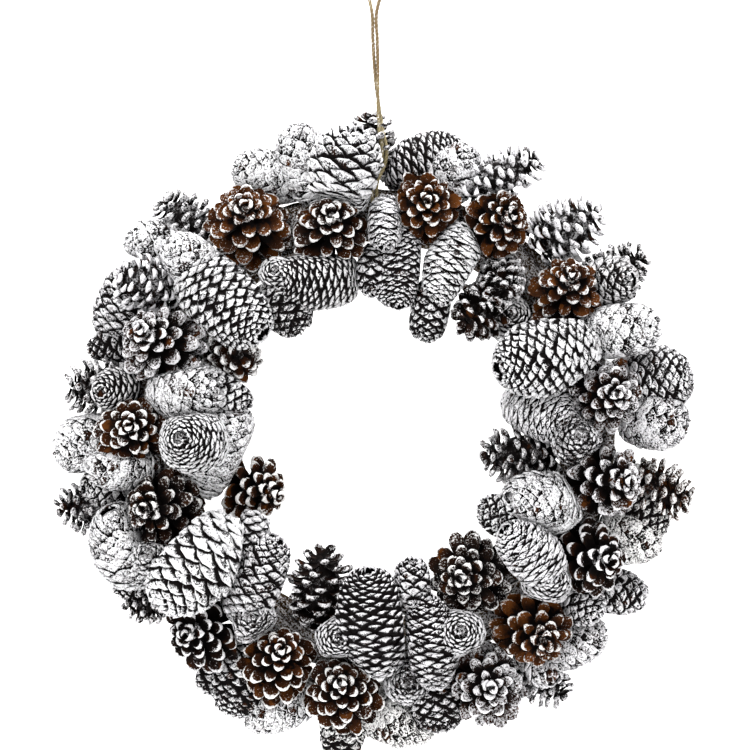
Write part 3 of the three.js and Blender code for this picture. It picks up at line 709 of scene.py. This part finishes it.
scaleTemplates = {
    "open": scaleTemplate((0.0, 0.35, 0.62, 0.8, 0.91, 1.0), (-1, -0.84, -0.5, 0, 0.5, 0.84, 1)),
    "spiky": scaleTemplate((0.0, 0.5, 0.78, 0.92, 1.0), (-1, -0.6, 0, 0.6, 1)),
    "closed": scaleTemplate((0.15, 0.7, 1.0), (-1, -0.6, 0, 0.6, 1)),
}


def blunt(along, power=2.2):
    # how wide a blunt oval is along its length
    return np.sqrt(1 - np.minimum(np.abs(2 * along - 1), 0.9999) ** power)


def openScales(cone, t, draw):
    # t runs from the base of the cone to its tip
    half, length = cone.width / 2, cone.length
    return {
        "endRadius": half * np.minimum(1.14, 1.5 * (1 - t)) ** 0.64 * draw.uniform(0.86, 1.06, t.size),
        "endHeight": length * (0.9 * t ** 0.95 - 0.42) + draw.uniform(-1.8, 1.8, t.size),
        "rootRadius": half * (0.2 - 0.14 * t),
        "rootHeight": length * (0.7 * t - 0.36),
        "tilt": np.radians(94 - 56 * t ** 1.6 + draw.uniform(-20, 20, t.size)),
        "halfWidth": half * 0.205 * (1 - 0.52 * t ** 1.2) * draw.uniform(0.74, 1.12, t.size),
        "thickness": 3.3 - 1.2 * t,
        "cup": 1.7 - 0.8 * t,
        "roundEnd": 0.2,
        "taper": 0.4,
    }


def spikyScales(cone, t, draw):
    # a half shut cone seen from its side: thick knobs all round
    half, length = cone.width / 2, cone.length
    return {
        "endRadius": half * blunt(0.16 + 0.82 * t) * draw.uniform(0.86, 1.03, t.size),
        "endHeight": length * (0.92 * t - 0.44) + draw.uniform(-1.2, 1.2, t.size),
        "rootRadius": half * (0.4 - 0.3 * t),
        "rootHeight": length * (0.8 * t - 0.42),
        "tilt": np.radians(84 - 74 * t ** 1.1 + draw.uniform(-16, 16, t.size)),
        "halfWidth": half * 0.2 * (1 - 0.3 * t) * draw.uniform(0.8, 1.15, t.size),
        "thickness": 2.5 - 0.8 * t,
        "cup": 1.3 - 0.6 * t,
        "roundEnd": 0.3,
        "taper": 0.3,
    }


# shut cones: scales of a turn stay the same in number, so they are finer where the cone is narrow
shutSet = {
    "fill": 1.05, "bluntness": 2.3, "rings": 200, "baseSize": 0.95, "tipSize": 0.55, "baseShare": 0.3,
    "tucked": 1.75, "lift": 13, "liftStray": 12,
}


def shutProfile(cone):
    # the egg that shut scales lie on, and how many of them it takes; wide is one of them at its middle
    half, finish = cone.width / 2, cone.finish
    place = 0.5 - 0.5 * np.cos(np.linspace(0.25, 3.13, shutSet["rings"]))
    radius = half * blunt(place ** 0.92, shutSet["bluntness"])
    height = cone.length * (place - 0.5)
    run = np.concatenate([[0], np.cumsum(np.hypot(np.diff(radius), np.diff(height)))])
    least = np.where(place < shutSet["baseShare"], shutSet["baseSize"], shutSet["tipSize"])
    relative = np.maximum(radius / half, least)
    share = np.gradient(run) * radius / relative ** 2
    wide = math.sqrt(2 * finish["aspect"] * finish["tile"])
    return {
        "radius": radius, "height": height, "run": run, "relative": relative,
        "filled": np.cumsum(share) / share.sum(),
        "wide": wide,
        "count": int(2 * math.pi * share.sum() / finish["tile"]),
        "turn": 2 * math.pi / (round(2 * math.pi * half / wide) + 0.5),  # turns are staggered by half a scale
    }


def closedScales(cone, t, draw):
    half, profile, finish = cone.width / 2, cone.profile, cone.finish
    run, radius, height = profile["run"], profile["radius"], profile["height"]
    at = np.interp(t, profile["filled"], run)

    def here(values):
        return np.interp(at, run, values)

    wide = profile["wide"] * here(profile["relative"])
    seen = wide / finish["aspect"]
    rootAt = np.maximum(at - shutSet["tucked"] * seen, 0)
    inner = 1 - 0.4 * profile["wide"] / finish["aspect"] / half
    slope = np.arctan2(here(np.gradient(radius, run)), here(np.gradient(height, run)))
    stray = shutSet["liftStray"]
    nextTo = 0.55 * profile["turn"] * here(radius) + 0.3
    return {
        "endRadius": here(radius) * draw.uniform(0.97, 1.03, t.size),
        "endHeight": here(height) + draw.uniform(-0.6, 0.6, t.size),
        "rootRadius": inner * np.interp(rootAt, run, radius),
        "rootHeight": inner * np.interp(rootAt, run, height),
        "tilt": slope + finish["relief"] * np.radians(shutSet["lift"] + draw.uniform(-stray, stray, t.size)),
        "halfWidth": np.minimum(0.46 * wide, nextTo) * draw.uniform(0.84, 1.12, t.size),
        "thickness": 0.36 * finish["relief"] * seen,
        "cup": 0.16 * wide ** 2 / np.maximum(here(radius), 0.45 * half),
        "roundEnd": 0.33,
        "taper": 0.2,
        "wide": wide,
        "seen": seen,
    }


scaleLaws = {"open": openScales, "spiky": spikyScales, "closed": closedScales, "small": closedScales}
scaleSet = {"bend": 0.55, "rugged": 0.12, "thinEdge": 0.55, "knob": 0.5, "seed": 1000}
goldenAngle = math.radians(137.508)


def curveAt(u, root, bend, end):
    return (1 - u) ** 2 * root + 2 * u * (1 - u) * bend + u ** 2 * end


def slopeAt(u, root, bend, end):
    return 2 * (1 - u) * (bend - root) + 2 * u * (end - bend)


def buildScales(cone, draw):
    profile = cone.profile
    count = profile["count"] if profile else coneKinds[cone.kind]["scales"]
    u, v, isUpper, faces = scaleTemplates[cone.kind if cone.isOpen else "closed"]
    t = (np.arange(count) + cone.habit["start"]) / count
    shape = scaleLaws[cone.kind](cone, t, draw)
    shape = {key: np.broadcast_to(values, t.shape)[:, None] for key, values in shape.items()}
    turn = profile["turn"] if profile else goldenAngle
    stray = cone.habit["stray"]
    angle = np.arange(count) * turn + draw.uniform(-stray, stray, count) + draw.uniform(0, 6.28)
    angle = angle[:, None]

    # each scale follows a curve from its root by way of a bend to its end, with rounded corners
    along = u * (1 - shape["roundEnd"] * np.abs(v) ** 2.6 * smooth(0.2, 1.0, u))
    rootR, rootZ, endR, endZ = (shape[key] for key in ("rootRadius", "rootHeight", "endRadius", "endHeight"))
    span = np.hypot(endR - rootR, endZ - rootZ)
    bendR = endR - scaleSet["bend"] * span * np.sin(shape["tilt"])
    bendZ = endZ - scaleSet["bend"] * span * np.cos(shape["tilt"])
    slopeR, slopeZ = slopeAt(along, rootR, bendR, endR), slopeAt(along, rootZ, bendZ, endZ)
    slope = np.hypot(slopeR, slopeZ) + 1e-6
    widening = 1 - shape["taper"] + shape["taper"] * smooth(0, 0.75, along) * 1.15
    halfWidth = shape["halfWidth"] * widening
    swell = 0.3 + 0.7 * smooth(0.35, 0.82, along) - 0.35 * smooth(0.9, 1.0, along)
    rugged = 1 + scaleSet["rugged"] * draw.standard_normal((count, u.size)) * (u > 0.5)
    thick = shape["thickness"] * swell * (1 - scaleSet["thinEdge"] * v ** 2) * rugged
    knob = scaleSet["knob"] * np.exp(-((along - 0.86) / 0.06) ** 2 - (v / 0.3) ** 2)
    offset = shape["cup"] * v ** 2 + np.where(isUpper, 0.12 * thick, -(thick + knob))
    radius = curveAt(along, rootR, bendR, endR) - slopeZ / slope * offset
    height = curveAt(along, rootZ, bendZ, endZ) + slopeR / slope * offset
    x = radius * np.cos(angle) - v * halfWidth * np.sin(angle)
    y = radius * np.sin(angle) + v * halfWidth * np.cos(angle)
    points = np.stack([x, y, height], axis=-1).reshape(-1, 3)

    shape.update(t=t[:, None], v=v, isUpper=isUpper, along=along, halfWidth=halfWidth, fromEnd=(1 - u) * span)
    allFaces = [face for i in range(count) for face in shiftFaces(faces, i * u.size)]
    return points, allFaces, markScales(cone, shape, draw)


def markScales(cone, shape, draw):
    # how much frost lies on the rim and the faces, the tone of the bark, and the painted shade in the hollows
    # between scales
    finish = cone.finish
    t, v, isUpper, along, halfWidth, fromEnd = (
        shape[key] for key in ("t", "v", "isUpper", "along", "halfWidth", "fromEnd")
    )

    def perScale(low, high):
        return draw.uniform(low, high, t.shape)

    crescent = 0.75 + 0.35 * (1 - v ** 2) + perScale(-0.2, 0.2)
    baseRim, tipRim = cone.habit["rim"]
    rimAtEnd = 1 - smooth(0.4, (baseRim + (tipRim - baseRim) * t) * crescent, fromEnd)
    if cone.isOpen:
        rimAtEnd = rimAtEnd * (1 - 0.4 * smooth(0.45, 0.95, np.abs(v)))
    fromSide = (1 - np.abs(v)) * halfWidth
    rimAtSide = (1 - smooth(0.1, 0.8, fromSide)) * smooth(0.7, 0.95, along) * 0.5
    rim = np.maximum(rimAtEnd, rimAtSide) * finish["rim"] * perScale(0.72, 1.12)

    coatUpper = finish["coat"] * smooth(0.3, 0.9, along) + 0.14 * smooth(0.7, 0.95, t)
    coatUnder = finish["under"] * smooth(0.35, 0.7, along)
    # painted shade: the bark is painted darker on the under faces and towards the roots of the scales
    paintedShade = 0.35 * (1 - isUpper) + 0.3 * (1 - smooth(0.55, 0.95, along))
    warm = finish["warm"] + perScale(-0.2, 0.2) - paintedShade
    coat = np.where(isUpper, coatUpper, coatUnder) + cone.habit["coatStray"] * perScale(-1, 1)

    # painted shade: dark towards the roots of open scales, and along the edges of the diamond each shut scale
    # shows where its neighbours overlap it
    if cone.kind == "open":
        hollowShade = 1.05 - 1.25 * smooth(0.36, 0.9, along)
    elif cone.kind == "spiky":
        hollowShade = 1.05 - 1.25 * (0.3 + 0.7 * smooth(0.15, 0.7, along))
    else:
        inDiamond = 2 * np.abs(v) * halfWidth / shape["wide"] + fromEnd / shape["seen"]
        hollowShade = (inDiamond - 0.5) / 0.42 - 0.8 * (1 - finish["slit"])
    marks = {"rim": rim, "coat": coat, "warm": warm, "hollowShade": hollowShade}
    return {key: values.reshape(-1) for key, values in marks.items()}


coreSet = {"around": 16, "rings": 12, "low": -0.43, "paintedShade": 0.2}


def buildCore(cone):
    # the spindle that the scales grow from
    finish = cone.finish
    around, rings = coreSet["around"], coreSet["rings"]
    low, high = coreSet["low"], cone.habit["coreTop"]
    t = np.arange(rings + 1)[:, None] / rings
    if cone.isOpen:
        swell = np.sin(math.pi * np.clip(t, 0.02, 0.98)) ** 0.6
    else:
        swell = blunt(0.5 + 0.985 * (t - 0.5), shutSet["bluntness"])
    radius = coneKinds[cone.kind]["core"] * cone.width / 2 * swell
    angle = 2 * math.pi * np.arange(around) / around
    height = np.broadcast_to(cone.length * (low + (high - low) * t), (rings + 1, around))
    points = np.stack([radius * np.cos(angle), radius * np.sin(angle), height], axis=-1).reshape(-1, 3)
    # painted shade on the spindle: full on open cones, partial on spiky ones, as wide as the slits on shut
    # ones; the top rings, which show between the last scales, get their own amount, none on open cones
    hollowShade, top = {"open": (1.0, 0.0), "spiky": (0.65, 0.65)}.get(cone.kind, (finish["slit"], 0.3))
    # painted shade: the spindle's bark is painted darker than the scales'
    warm = finish["warm"] - coreSet["paintedShade"]
    marks = {"rim": 0.0, "coat": finish["under"], "warm": warm, "hollowShade": hollowShade}
    marks = {key: np.full(len(points), value) for key, value in marks.items()}
    marks["hollowShade"][-3 * around:] = top  # it shows between the last scales
    return points, tubeFaces(rings + 1, around), marks


# scales start to yield at "room" from a neighbour's face and pass it by "give" at most
pressSet = {"room": 3.0, "give": 1.2, "front": 1.2, "wallGap": 0.1}


def pressBack(points, cone):
    room = pressSet["room"]
    span = room + pressSet["give"]
    for onFace, away in cone.faces:
        normal = np.array(away)
        clear = (points - np.array(onFace)) @ normal
        yielding = room - span * (1 - np.exp(np.minimum(clear - room, 0) / span))
        pressed = np.where(clear < room, yielding, clear)
        points = points + (pressed - clear)[:, None] * normal
    front = cadBox[0][1] / mm - pressSet["front"]
    points[:, 1] = np.clip(points[:, 1], front, layingSet["wallDepth"] - pressSet["wallGap"])
    return points


def buildCone(cone, draw):
    if not cone.isOpen:
        cone.width *= shutSet["fill"]  # they fill what is left between them
        cone.profile = shutProfile(cone)
    points, faces, marks = joinParts([buildScales(cone, draw), buildCore(cone)])
    spin = Quaternion((0, 0, 1), draw.uniform(0, 2 * math.pi))
    pose = Vector((0, 0, 1)).rotation_difference(cone.direction) @ spin
    points = points @ np.array(pose.to_matrix()).T + np.array(cone.middle)
    return pressBack(points, cone), faces, marks


def makeConePieces():
    for node, (look, _) in coneNodes.items():
        parts = [
            buildCone(cone, np.random.default_rng(scaleSet["seed"] + i))
            for i, cone in enumerate(cones) if cone.node == node
        ]
        points, faces, marks = joinParts(parts)
        addPiece("cones_" + node, points, faces, coneMaterials[look], marks, look, "cone_" + node)


makeConePieces()
print("cones made")


def tube(path, radii, sides, closed=False):
    # a tube along a path, with frames carried along it; radii are rows of points by columns of corners
    path = np.asarray(path, dtype=float)
    ahead = np.roll(path, -1, axis=0) - np.roll(path, 1, axis=0)
    if not closed:
        ahead[0], ahead[-1] = path[1] - path[0], path[-1] - path[-2]
    ahead /= np.linalg.norm(ahead, axis=1)[:, None]
    side = np.cross(ahead[0], (0.3, 1.0, 0.2))
    side /= np.linalg.norm(side)
    angles = (2 * np.pi * np.arange(sides) / sides)[:, None]
    radii = np.broadcast_to(radii, (len(path), sides))
    points = []
    for at, forward, radius in zip(path, ahead, radii):
        side = side - forward * side.dot(forward)
        side /= np.linalg.norm(side)
        other = np.cross(forward, side)
        points.append(at + radius[:, None] * (np.cos(angles) * side + np.sin(angles) * other))
    return np.concatenate(points), tubeFaces(len(path), sides, closed)


vineSet = {
    "lays": [  # windings are those of the even and of the odd ones
        {"count": 22, "bundle": 13, "radius": 2.2, "windings": (3, 3), "phase": 0},
        {"count": 6, "bundle": 6.5, "radius": 4.4, "windings": (3, 3), "phase": 0.1},
        {"count": 5, "bundle": 14.3, "radius": 1.4, "windings": (14, -9), "phase": 0},
    ],
    "steps": 108, "sides": 7, "skin": 0.4, "wobble": 0.35, "knots": 23, "ridges": 3, "seed": 7,
    "frontDust": 0.13, "dust": 0.75, "bump": 0.9,
    "bark": (0.045, 0.025, 0.011, 1), "grooveToneAndShade": (0.02, 0.011, 0.006, 1),
    "patch": (0.08, 0.055, 0.024, 1), "dustColour": (0.6, 0.59, 0.6, 1),
}


def makeVineMaterial():
    w, entry = newGroup(
        "vineBark",
        ("Bark", "NodeSocketColor", vineSet["bark"]),
        ("Dust", "NodeSocketFloat", vineSet["dust"]),
    )
    place = w.place()
    grain = w.add(w.times(w.mark("ridge"), 0.55), w.times(w.noise(place, 700, 4.0), 0.6))
    patches = w.noise(place, 140)
    colour = w.mix(w.step(grain, 0.25, 0.85), vineSet["grooveToneAndShade"], entry["Bark"])
    colour = w.mix(w.step(patches, 0.5, 0.8), colour, vineSet["patch"])
    dust = w.add(w.noise(place, 900, 2.0), w.times(w.mark("front"), vineSet["frontDust"]))
    dusted = w.times(w.step(dust, 0.58, 0.68), entry["Dust"])
    colour = w.mix(dusted, colour, vineSet["dustColour"])
    group = w.leave(colour, w.add(0.62, w.times(patches, 0.25)), grain)
    return finishMaterial("vineCanes", group, {}, vineSet["bump"])


def makeCane(draw, lay, k):
    # canes wind round each other, thick ones inside, thin ones bind them all
    steps, sides, radius = vineSet["steps"], vineSet["sides"], lay["radius"]
    around = 2 * np.pi * np.arange(steps) / steps
    wobble = sum(
        draw.uniform(0.2, 0.7) * np.sin(f * around + draw.uniform(0, 6.28)) for f in (3, 5, 8, 13)
    )
    phase = k / lay["count"] + lay["phase"]
    turn = 2 * np.pi * phase + lay["windings"][k % 2] * around + 0.12 * wobble
    reach = lay["bundle"] + vineSet["wobble"] * wobble
    reach = np.minimum(reach, vineRadius - vineSet["skin"] - radius)
    fromCentre = ringRadius + reach * np.cos(turn)
    x, z = fromCentre * np.cos(around), fromCentre * np.sin(around) - centreDrop
    path = np.stack([x, reach * np.sin(turn), z], axis=1)
    knots = np.sin(vineSet["knots"] * around + draw.uniform(0, 6))
    knots = 1 + 0.12 * knots + 0.06 * draw.standard_normal(steps)
    ridges = np.arange(sides) * 2 * np.pi * vineSet["ridges"] / sides
    lobes = 1 + 0.09 * np.sin(ridges + draw.uniform(0, 6))
    points, faces = tube(path, radius * knots[:, None] * lobes, sides, closed=True)
    ridge = np.tile(draw.uniform(0, 1, sides), steps)
    return points, faces, {"ridge": ridge, "front": np.repeat(-np.sin(turn), sides)}


def makeVineRing():
    draw = np.random.default_rng(vineSet["seed"])
    canes = [makeCane(draw, lay, k) for lay in vineSet["lays"] for k in range(lay["count"])]
    points, faces, marks = joinParts(canes)
    addPiece("vineRing", points, faces, makeVineMaterial(), marks, "vine", "vine_ring")


makeVineRing()
print("vine ring made")

twineSet = {
    "width": 2.2, "spacing": 2.55, "loopRadius": 7, "turn": math.pi, "wrapTurn": 1.9, "seatGap": 0.35,
    "wrapPoints": 6, "loopPoints": 7, "loopPast": 0.15, "plies": 3, "plyShare": 0.54, "lay": 7.5,
    "steps": 540, "sides": 24, "bump": 0.8, "shine": 0.2, "brownFade": (70, 115),
    "hairs": 420, "hairRadii": (0.05, 0.045, 0.02), "hairSpan": (0.8, 2.2), "hairFrom": 0.85, "seed": 21,
    "straw": (0.32, 0.28, 0.14, 1), "brown": (0.25, 0.165, 0.085, 1), "dark": (0.12, 0.085, 0.042, 1),
    "tuft": (0.4, 0.34, 0.2, 1), "fleck": (0.72, 0.7, 0.66, 1), "grooveToneAndShade": (0.06, 0.032, 0.012, 1),
}
twineRoute = [
    (0, 141), (4, 151), (5.5, 160), (3.5, 171), (2.3, 183), (1.2, 197), (0.6, 211), (0, 226), (-0.4, 240),
]  # x, height above the wreath's centre


def curveThrough(points, perSpan=24):
    # a centripetal curve through the points
    points = [Vector(p) for p in points]
    ends = [points[0] * 2 - points[1], *points, points[-1] * 2 - points[-2]]
    out = []
    for p0, p1, p2, p3 in zip(ends, ends[1:], ends[2:], ends[3:]):
        d0, d1, d2 = (max((b - a).length ** 0.5, 1e-4) for a, b in ((p0, p1), (p1, p2), (p2, p3)))
        t1 = ((p1 - p0) / d0 - (p2 - p0) / (d0 + d1) + (p2 - p1) / d1) * d1
        t2 = ((p2 - p1) / d1 - (p3 - p1) / (d1 + d2) + (p3 - p2) / d2) * d1
        for i in range(perSpan):
            s = i / perSpan
            square, cube = p2 * 3 - p1 * 3 - t1 * 2 - t2, p1 * 2 - p2 * 2 + t1 + t2
            out.append(p1 + t1 * s + square * s ** 2 + cube * s ** 3)
    return out + [points[-1]]


def strandPoints(side):
    # round the ring from behind, then up between the cones to the loop, half a turn about the other strand
    beside = side * twineSet["spacing"] / 2
    wrapRadius = vineRadius + 2 * twineSet["seatGap"] + twineSet["width"] / 2
    points = []
    for i in range(twineSet["wrapPoints"]):
        turn = twineSet["wrapTurn"] * (i / (twineSet["wrapPoints"] - 1) - 1)
        height = ringRadius + wrapRadius * math.sin(turn)
        points.append((beside, -wrapRadius * math.cos(turn), height - centreDrop))
    for i, (x, height) in enumerate(twineRoute):
        twist = twineSet["turn"] * float(smooth(1, len(twineRoute) - 1, i))
        depth = -wrapRadius * (centreDrop - height) / (centreDrop - ringRadius)
        points.append((x + beside * math.cos(twist), depth + beside * math.sin(twist), height - centreDrop))
    return points


def loopPoints():
    radius, past, count = twineSet["loopRadius"], twineSet["loopPast"], twineSet["loopPoints"]
    middle = twineSet["width"] / 2 - radius
    turns = [-past + i * (math.pi + 2 * past) / (count - 1) for i in range(count)]
    return [(-radius * math.cos(turn), 0, middle + radius * math.sin(turn)) for turn in turns]


def makeTwineMaterial(length):
    w, entry = newGroup("juteFibres", ("Straw", "NodeSocketColor", twineSet["straw"]))
    place, run, turned = w.place(), w.mark("run"), w.mark("turned")
    sine, cosine = w.math("SINE", turned), w.math("COSINE", turned)
    along = w.node("ShaderNodeCombineXYZ", None, i0=w.times(run, 0.35), i1=sine, i2=cosine).outputs[0]
    fibres = w.noise(along, 6.5, 5.0, 0.65)
    tufts = w.noise(place, 60, 2.0)
    flecks = w.noise(place, 420, 3.0, 0.7)
    fromLoop = w.math("ABSOLUTE", w.less(run, length / 2))
    straw = w.mix(w.step(fromLoop, *twineSet["brownFade"]), twineSet["brown"], entry["Straw"])
    colour = w.mix(w.step(fibres, 0.3, 0.7), twineSet["dark"], straw)
    colour = w.mix(w.step(tufts, 0.4, 0.75), colour, twineSet["tuft"])
    colour = w.mix(w.step(flecks, 0.58, 0.66), colour, twineSet["fleck"])
    # painted shade: the twine is painted darker in the grooves between its plies
    colour = w.mix(w.step(w.mark("grooveToneAndShade"), 0.55, 1.0), colour, twineSet["grooveToneAndShade"])
    group = w.leave(colour, w.add(0.75, w.times(fibres, 0.2)), fibres)
    return finishMaterial("juteTwine", group, {}, twineSet["bump"], twineSet["shine"])


def makeHairs(path, material):
    draw = np.random.default_rng(twineSet["seed"])
    parts = []
    for _ in range(twineSet["hairs"]):
        i = int(draw.integers(4, len(path) - 4))
        tangent = path[i + 2] - path[i - 2]
        tangent /= np.linalg.norm(tangent)
        out = np.cross(tangent, draw.standard_normal(3))
        out /= np.linalg.norm(out)
        span = draw.uniform(*twineSet["hairSpan"])
        curve = []
        for s in (0, 0.5, 1):
            sideways = tangent * span * s * draw.choice((-1, 1)) * 0.9
            curve.append(path[i] + out * twineSet["hairFrom"] + sideways + out * 0.55 * span * s ** 1.5)
        points, faces = tube(curve, np.array(twineSet["hairRadii"])[:, None], 3)
        marks = {key: np.zeros(len(points)) for key in ("grooveToneAndShade", "run", "turned")}
        parts.append((points, faces, marks))
    points, faces, marks = joinParts(parts)
    return addPiece("twineHairs", points, faces, material, marks, "jute")


def makeTwine():
    route = curveThrough([*strandPoints(1), *loopPoints(), *strandPoints(-1)[::-1]])
    length = sum((b - a).length for a, b in zip(route, route[1:]))
    spots = np.array([tuple(p) for p in route])
    reach = np.concatenate([[0], np.cumsum(np.linalg.norm(np.diff(spots, axis=0), axis=1))])
    along = np.linspace(0, reach[-1], twineSet["steps"])
    path = np.stack([np.interp(along, reach, spots[:, k]) for k in range(3)], axis=1)

    # three plies: the outline of each is a circle set off from the middle
    plies, sides = twineSet["plies"], twineSet["sides"]
    ply = twineSet["width"] / 2 * twineSet["plyShare"]
    off = twineSet["width"] / 2 - ply
    turned = 2 * np.pi * np.arange(sides) / sides - 2 * np.pi * along[:, None] / twineSet["lay"]
    lobe = (turned * plies / (2 * np.pi)) % 1 - 0.5
    lobeAngle = lobe * 2 * np.pi / plies
    radii = off * np.cos(lobeAngle) + np.sqrt(np.maximum(ply ** 2 - (off * np.sin(lobeAngle)) ** 2, 0.02))
    points, faces = tube(path, radii, sides)
    # the first mark gives how near each corner lies to a groove between plies, for the painted shade there
    marks = {
        "grooveToneAndShade": (np.abs(lobe) * 2).reshape(-1),
        "run": np.repeat(along, sides),
        "turned": (turned % (2 * np.pi)).reshape(-1),
    }
    material = makeTwineMaterial(length)
    twine = addPiece("twine", points, faces, material, marks, "jute", "jute_hanger", crease=80)
    hairs = makeHairs(path, material)
    print("twine made, mm:", round(length, 1))


makeTwine()

stageSet = {
    "wallAway": 620, "wallHeight": 2200, "floorDrop": 700, "half": 1900, "bend": 350, "bendSteps": 12,
    "paper": (0.93, 0.93, 0.93, 1), "roughness": 0.9, "roomLight": 0.46,
}
lights = {  # in m and W
    "keySoftbox": {"place": (-0.75, -1.3, 0.55), "aim": (0, 0, -0.27), "size": 0.9, "power": 19},
    "fillSoftbox": {"place": (1.0, -1.2, -0.1), "aim": (0, 0, -0.27), "size": 1.0, "power": 7},
    "wallWash": {"place": (0, 0.15, 1.1), "aim": (0, 0.62, -0.2), "size": 1.4, "power": 62},
}


def makePaper():
    paper = bpy.data.materials.new("palePaper")
    paper.use_nodes = True
    shader = paper.node_tree.nodes["Principled BSDF"]
    shader.inputs["Base Color"].default_value = stageSet["paper"]
    shader.inputs["Roughness"].default_value = stageSet["roughness"]
    w = Wiring(paper.node_tree)
    behind = w.node("ShaderNodeNewGeometry").outputs["Backfacing"]
    clear = w.node("ShaderNodeBsdfTransparent").outputs[0]
    sided = w.node("ShaderNodeMixShader", None, i0=behind, i1=shader.outputs[0], i2=clear)
    w.join(sided.outputs[0], paper.node_tree.nodes["Material Output"].inputs["Surface"])
    return paper


def makeStage():
    # a pale sweep: floor in front, turning up into a wall that is clear from behind
    half, bend, wallAway = stageSet["half"], stageSet["bend"], stageSet["wallAway"]
    profile = [(-half, 0)]
    for i in range(stageSet["bendSteps"] + 1):
        a = math.pi / 2 * i / stageSet["bendSteps"]
        profile.append((wallAway - bend + bend * math.sin(a), bend - bend * math.cos(a)))
    profile.append((wallAway, stageSet["wallHeight"]))
    points = [(x, y, z - stageSet["floorDrop"]) for y, z in profile for x in (-half, half)]
    faces = [(2 * i, 2 * i + 1, 2 * i + 3, 2 * i + 2) for i in range(len(profile) - 1)]
    sweep = addObject("paleSweep", newMesh("paleSweep", points, faces, makePaper()))


def makeLight(name, place, aim, size, power):
    light = addObject(name, bpy.data.lights.new(name, "AREA"))
    light.data.size = size
    light.data.energy = power
    light.location = place
    light.rotation_euler = (Vector(aim) - Vector(place)).to_track_quat("-Z", "Y").to_euler()
    light.visible_camera = False


def makeRoom():
    # an even pale room, white where it is seen past the sweep
    world = bpy.data.worlds.new("paleRoom")
    bpy.context.scene.world = world
    world.use_nodes = True
    w = Wiring(world.node_tree)
    seen = w.node("ShaderNodeLightPath").outputs["Is Camera Ray"]
    background = world.node_tree.nodes["Background"]
    w.join((1, 1, 1, 1), background.inputs["Color"])
    roomLight = stageSet["roomLight"]
    w.join(w.add(roomLight, w.times(seen, 1 - roomLight)), background.inputs["Strength"])


makeStage()
for name, light in lights.items():
    makeLight(name, **light)
makeRoom()
bpy.context.scene.view_settings.view_transform = "Standard"
print("stage lit")
